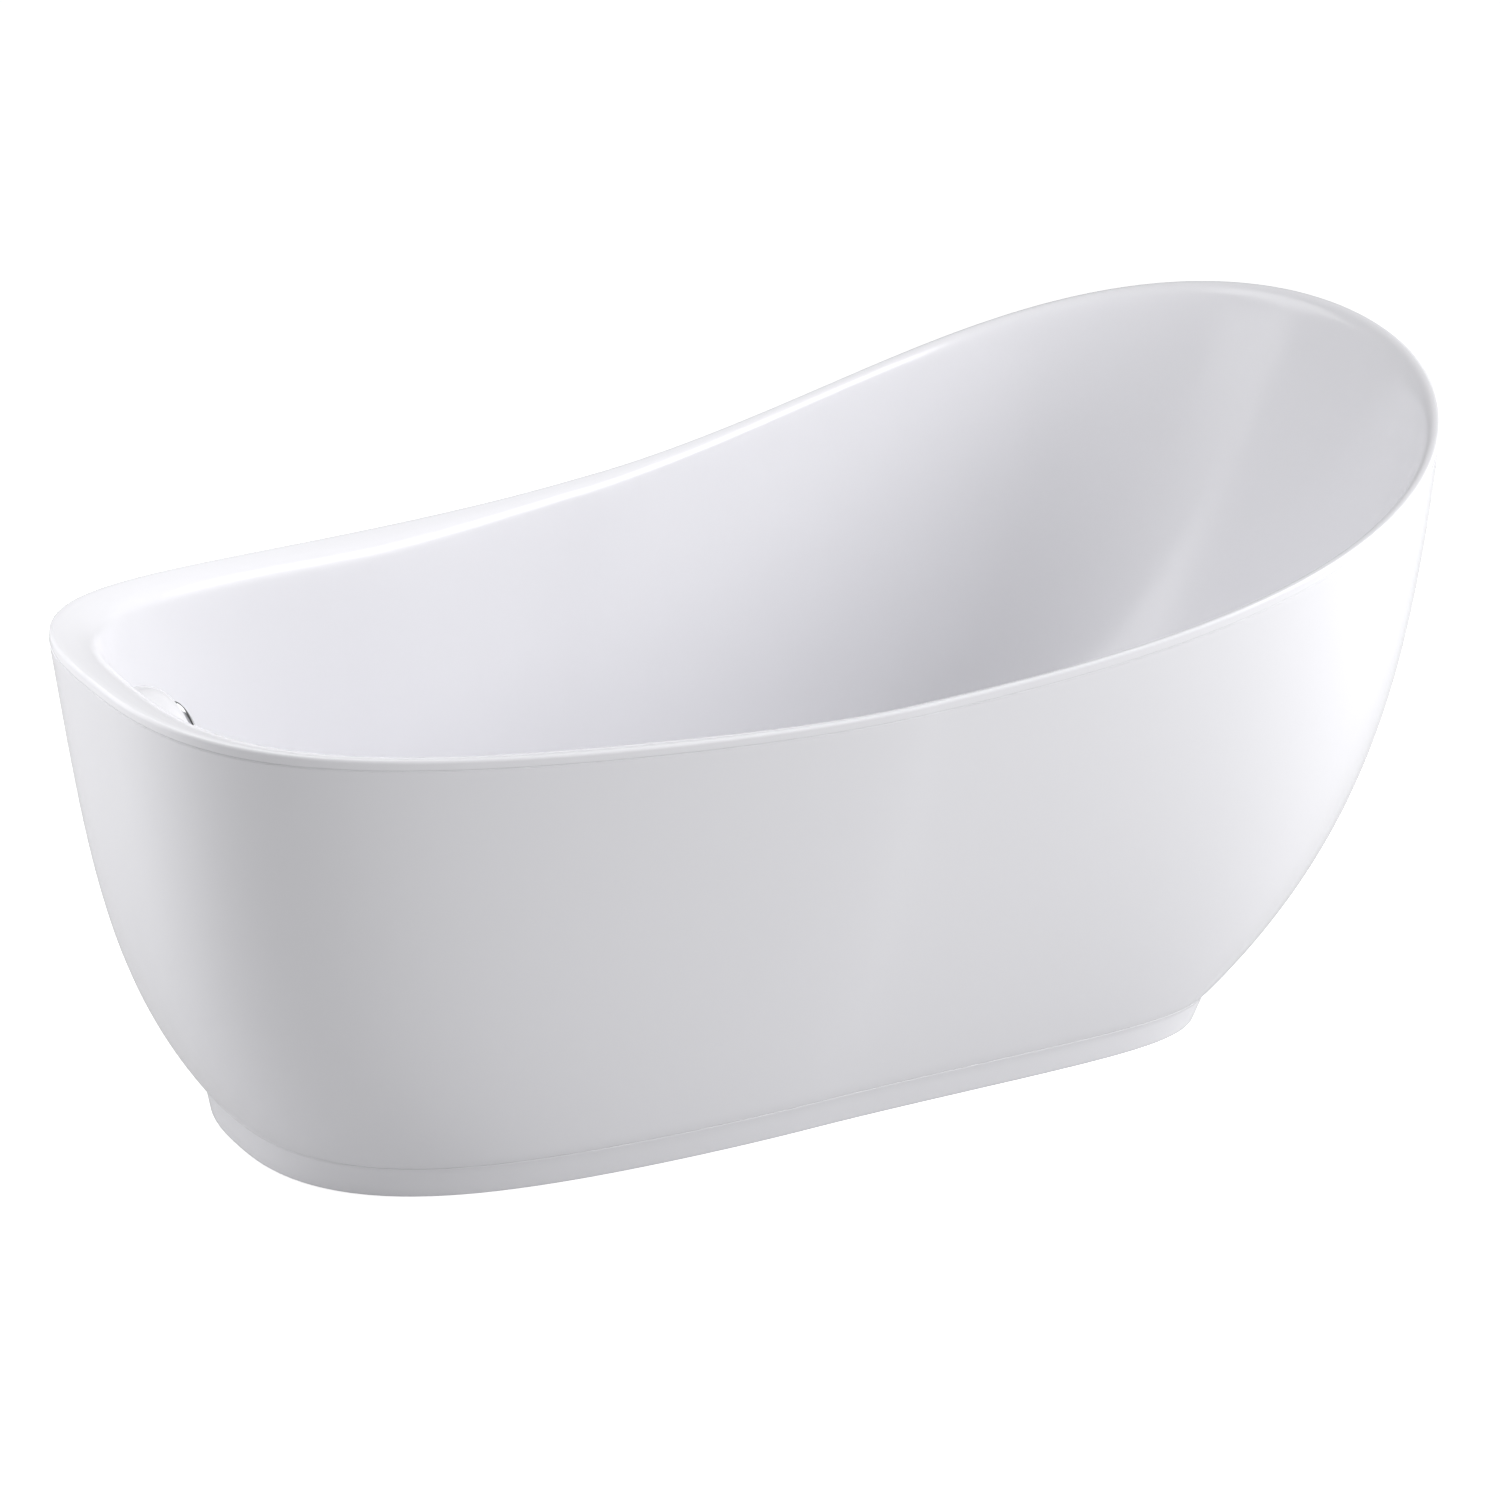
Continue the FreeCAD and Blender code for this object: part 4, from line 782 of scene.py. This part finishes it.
def zinc_material():
    """Zinc plate: crystal flowers in slightly different greys, duller in places."""
    material, tree, shader = new_material("zinc_plate", Metallic=1.0)
    tone = channel(tree, cells(tree, object_place(tree), 210.0).outputs["Color"], "Red")
    colour = mixed_colour(tree, tone, (0.46, 0.47, 0.47, 1), (0.68, 0.69, 0.68, 1))
    dusty = effect(tree, DUST, Colour=colour, Amount=0.25)
    feed(tree, shader, Base_Color=dusty["Color"], Roughness=spread(tree, tone, 0.0, 1.0, 0.26, 0.46))
    return material


def board_material():
    """Raw chipboard: pressed wood flakes of several browns, with small gaps between them."""
    material, tree, shader = new_material("chipboard")
    flake_scale = 150.0
    place = object_place(tree)
    bent = add(tree, "ShaderNodeTexNoise", Vector=place, Scale=60.0, Detail=2.0)
    moved = add(tree, "ShaderNodeVectorMath", {"operation": "MULTIPLY_ADD"}, i0=bent.outputs["Color"],
                i1=(0.006, 0.006, 0.006), i2=place).outputs[0]
    tone = channel(tree, cells(tree, moved, flake_scale).outputs["Color"], "Green")
    edges = cells(tree, moved, flake_scale, feature="DISTANCE_TO_EDGE").outputs["Distance"]
    browns = add(tree, "ShaderNodeValToRGB", Fac=tone)
    ramp = browns.color_ramp
    ramp.elements[0].color = (0.30, 0.19, 0.10, 1)
    ramp.elements[1].color = (0.66, 0.50, 0.31, 1)
    ramp.elements.new(0.5).color = (0.50, 0.35, 0.20, 1)
    gap = spread(tree, edges, 0.0, 0.06, 0.0, 1.0)
    height = maths(tree, "ADD", gap, maths(tree, "MULTIPLY", tone, 0.5))
    feed(tree, shader, Base_Color=mixed_colour(tree, gap, (0.12, 0.08, 0.05, 1), browns.outputs["Color"]),
         Normal=bumped(tree, height, 0.5, 0.0006), Roughness=spread(tree, tone, 0.0, 1.0, 0.6, 0.85))
    return material


acrylic = acrylic_material()
laminate = laminate_material()
FINISHES = {
    "acrylic": acrylic,
    "bond": grained_material("sealing_paste", (0.85, 0.85, 0.88), (0.82, 0.82, 0.85), roughness=0.4,
                             grain_size=0.003, grain_height=0.2),
    "chrome": chrome_material(),
    "rubber": grained_material("black_rubber", (0.030, 0.030, 0.032), (0.018, 0.018, 0.019), roughness=0.62,
                               grain_size=0.0009, grain_height=0.35, dust=0.3),
    "pipework": grained_material("moulded_pipework", (0.74, 0.75, 0.76), (0.68, 0.69, 0.70), roughness=0.38,
                                 grain_size=0.0012, grain_height=0.12, dust=0.15, IOR=1.49),
    "frame_steel": grained_material("powder_coat", (0.055, 0.058, 0.062), (0.040, 0.042, 0.046),
                                    roughness=0.42, grain_size=0.0011, grain_height=0.55, dust=0.3),
    "zinc_steel": zinc_material(),
    "board": board_material(),
}


def finish_cad_nodes():
    """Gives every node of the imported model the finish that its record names."""
    for entry in frame["record"]["subparts"]:
        node = frame["nodes"][entry["node"]]
        node.data.materials.clear()
        node.data.materials.append(FINISHES[entry["material_slot"]])


def settle(piece, body, slot, *nodes, materials=()):
    """A finished piece: gives it its materials, by default its slot's finish, puts it on its body and hides
    the nodes that it stands for.
    """
    for material in materials or (FINISHES[slot],):
        piece.data.materials.append(material)
    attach(piece, body)
    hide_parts(*nodes)


# ---- Small turned pieces ----
def make_cover():
    """The overflow's chrome cover: a shallow dome whose side draws in towards the boss, hollow behind."""
    face = [(0, 0.0121), (0.010, 0.01205), (0.020, 0.0118), (0.029, 0.0113), (0.0335, 0.0109)]
    edge = [(0.0360, 0.0105), (0.0374, 0.0099), (0.0382, 0.0090), (0.0384, 0.0080), (0.0381, 0.0071)]
    side = [(0.0372, 0.0055), (0.0358, 0.0030), (0.0346, 0.0008), (0.0342, 0.0003)]
    hollow = [(0.0335, 0.0002), (0.0335, 0.0045), (0.0320, 0.0068), (0.0290, 0.0085)]
    hub = [(0.0070, 0.0098), (0.0060, 0.0090), (0.0060, 0.0002), (0, 0.0002)]
    return turned("overflow_cover_plate", face + edge + side + hollow + hub, FACE_CENTRE, FACE)


def make_plug_cap():
    """The plug's domed chrome cap with a fine turned groove near its edge."""
    radius = (cap_high.x - cap_low.x) / 2
    height = cap_high.z - cap_low.z
    dome = [(0, 1), (0.3, 0.995), (0.55, 0.965), (0.74, 0.90), (0.80, 0.865)]
    groove = [(0.81, 0.80), (0.83, 0.79), (0.84, 0.835)]
    edge = [(0.91, 0.75), (0.96, 0.62), (0.99, 0.45), (1, 0.28), (1, 0.10), (0.985, 0.0), (0, 0)]
    profile = [(radius * across, height * up) for across, up in dome + groove + edge]
    return turned("plug_cap_domed", profile, Vector((DRAIN_X, 0, cap_low.z)), UP)


# ---- Camera, light and floor ----
CAMERA_AIM = Vector((-0.7473, -1.0, 0.9777))
CAMERA_AZIMUTH = math.radians(-37.1368)
CAMERA_ELEVATION = math.radians(25.6965)
CAMERA_ROLL = math.radians(5.7788)
CAMERA_DISTANCE = 6.0
CAMERA_LENS = 148.73
GLOW_LOW = 0.0                       # the studio's even glow at eye level and overhead
GLOW_HIGH = 0.12
LAMP_EDGE = 0.5                      # cosine of the angle at which a soft lamp has faded out
# Broad lamps far off, each with its azimuth, elevation and strength:
SOFT_LAMPS = [(0, 8, 0.12), (15, 25, 0.24), (-38, 20, 1.54), (175, 10, 0.42), (135, 30, 0.36)]
# Square soft boxes near the tub, each with its place, target, side and power:
SOFT_BOXES = [((2.1, -1.6, 0.7), (0.7, -0.2, 0.4), 1.2, 4.0),
              ((-2.1, 0.5, 0.7), (-0.7, 0.0, 0.35), 1.3, 9.5),
              ((-1.3, 0.9, 2.0), (-0.8, 0.0, 0.5), 1.5, 19.0),
              ((1.6, -1.5, 1.8), (0.2, 0.1, 0.4), 1.3, 30.0)]
FLOOR_REACH = 30.0
FLOOR_WHITE = 0.50                   # what lifts the floor to white where it is looked at
FLOOR_GLOW = 0.24                    # what the floor throws back on the bathtub beside its own shade


def make_camera():
    back = Vector((math.sin(CAMERA_AZIMUTH) * math.cos(CAMERA_ELEVATION),
                   -math.cos(CAMERA_AZIMUTH) * math.cos(CAMERA_ELEVATION), math.sin(CAMERA_ELEVATION)))
    right = (-back).cross(UP).normalized()
    up = right.cross(-back)
    turned_right = right * math.cos(CAMERA_ROLL) + up * math.sin(CAMERA_ROLL)
    turned_up = up * math.cos(CAMERA_ROLL) - right * math.sin(CAMERA_ROLL)
    data = bpy.data.cameras.new("camera")
    data.lens = CAMERA_LENS
    data.sensor_width = 36.0
    data.clip_end = 100.0
    camera = bpy.data.objects.new("camera", data)
    bpy.context.scene.collection.objects.link(camera)
    turn = Matrix((turned_right, turned_up, back)).transposed()
    camera.matrix_world = Matrix.Translation(CAMERA_AIM + back * CAMERA_DISTANCE) @ turn.to_4x4()
    bpy.context.scene.camera = camera


def make_soft_boxes():
    for number, (place, target, side, power) in enumerate(SOFT_BOXES, start=1):
        data = bpy.data.lights.new("soft_box_%d" % number, "AREA")
        data.shape = "SQUARE"
        data.size = side
        data.energy = power
        box = bpy.data.objects.new("soft_box_%d" % number, data)
        bpy.context.scene.collection.objects.link(box)
        box.location = Vector(place)
        box.rotation_euler = (Vector(target) - Vector(place)).to_track_quat("-Z", "Y").to_euler()


def make_world():
    """A soft studio: an even glow, more of it overhead, and broad soft lamps round the room."""
    world = bpy.data.worlds.new("studio")
    bpy.context.scene.world = world
    world.use_nodes = True
    tree = world.node_tree
    tree.nodes.clear()
    direction = add(tree, "ShaderNodeTexCoord").outputs["Generated"]
    height = add(tree, "ShaderNodeSeparateXYZ", Vector=direction).outputs["Z"]
    total = spread(tree, height, 0.0, 1.0, GLOW_LOW, GLOW_HIGH)
    for azimuth, elevation, strength in SOFT_LAMPS:
        flat = math.cos(math.radians(elevation))
        towards = (flat * math.cos(math.radians(azimuth)), flat * math.sin(math.radians(azimuth)),
                   math.sin(math.radians(elevation)))
        facing = add(tree, "ShaderNodeVectorMath", {"operation": "DOT_PRODUCT"}, i0=direction, i1=towards)
        lobe = add(tree, "ShaderNodeMapRange", {"interpolation_type": "SMOOTHSTEP"},
                   Value=facing.outputs["Value"], From_Min=LAMP_EDGE, From_Max=1.0, To_Min=0.0,
                   To_Max=strength)
        total = maths(tree, "ADD", total, lobe.outputs["Result"])
    seen = add(tree, "ShaderNodeLightPath").outputs["Is Camera Ray"]
    strength = add(tree, "ShaderNodeMix", {"data_type": "FLOAT"}, i0=seen, i2=total, i3=1.0)
    light = add(tree, "ShaderNodeBackground", Color=(1.0, 1.0, 1.0, 1), Strength=strength.outputs[0])
    add(tree, "ShaderNodeOutputWorld", Surface=light.outputs[0])


def make_floor():
    """A pale floor: white where it is looked at, greyer in what it throws back on the bathtub."""
    corners = [(-FLOOR_REACH, -FLOOR_REACH, 0), (FLOOR_REACH, -FLOOR_REACH, 0),
               (FLOOR_REACH, FLOOR_REACH, 0), (-FLOOR_REACH, FLOOR_REACH, 0)]
    floor = mesh_object("studio_floor", corners, [(0, 1, 2, 3)], smooth=False)
    material, tree, shader = new_material("pale_floor", Roughness=0.9, Specular_IOR_Level=0.1,
                                          Emission_Color=(1, 1, 1, 1))
    seen = add(tree, "ShaderNodeLightPath").outputs["Is Camera Ray"]
    feed(tree, shader, Base_Color=mixed_colour(tree, seen, (0.35, 0.35, 0.355, 1), (0.97, 0.97, 0.97, 1)),
         Emission_Strength=spread(tree, seen, 0.0, 1.0, FLOOR_GLOW, FLOOR_WHITE))
    floor.data.materials.append(material)


def main():
    finish_cad_nodes()
    angles = station_angles()
    settle(make_basin(angles), "tub", "acrylic", "basin", materials=(acrylic, laminate))
    cove = cove_rows(angles)
    settle(make_skirt(angles, cove), "tub", "acrylic", "outer_skirt", materials=(acrylic, laminate))
    settle(make_plinth(angles, cove), "tub", "acrylic", "plinth_band")
    settle(make_bead(angles), "tub", "bond", "rim_bond")
    settle(make_cover(), "tub", "chrome", "overflow_cover")
    settle(make_plug_cap(), "plug", "chrome", "plug_cap")
    make_camera()
    make_world()
    make_soft_boxes()
    make_floor()
    bpy.context.scene.view_settings.view_transform = "Standard"


main()
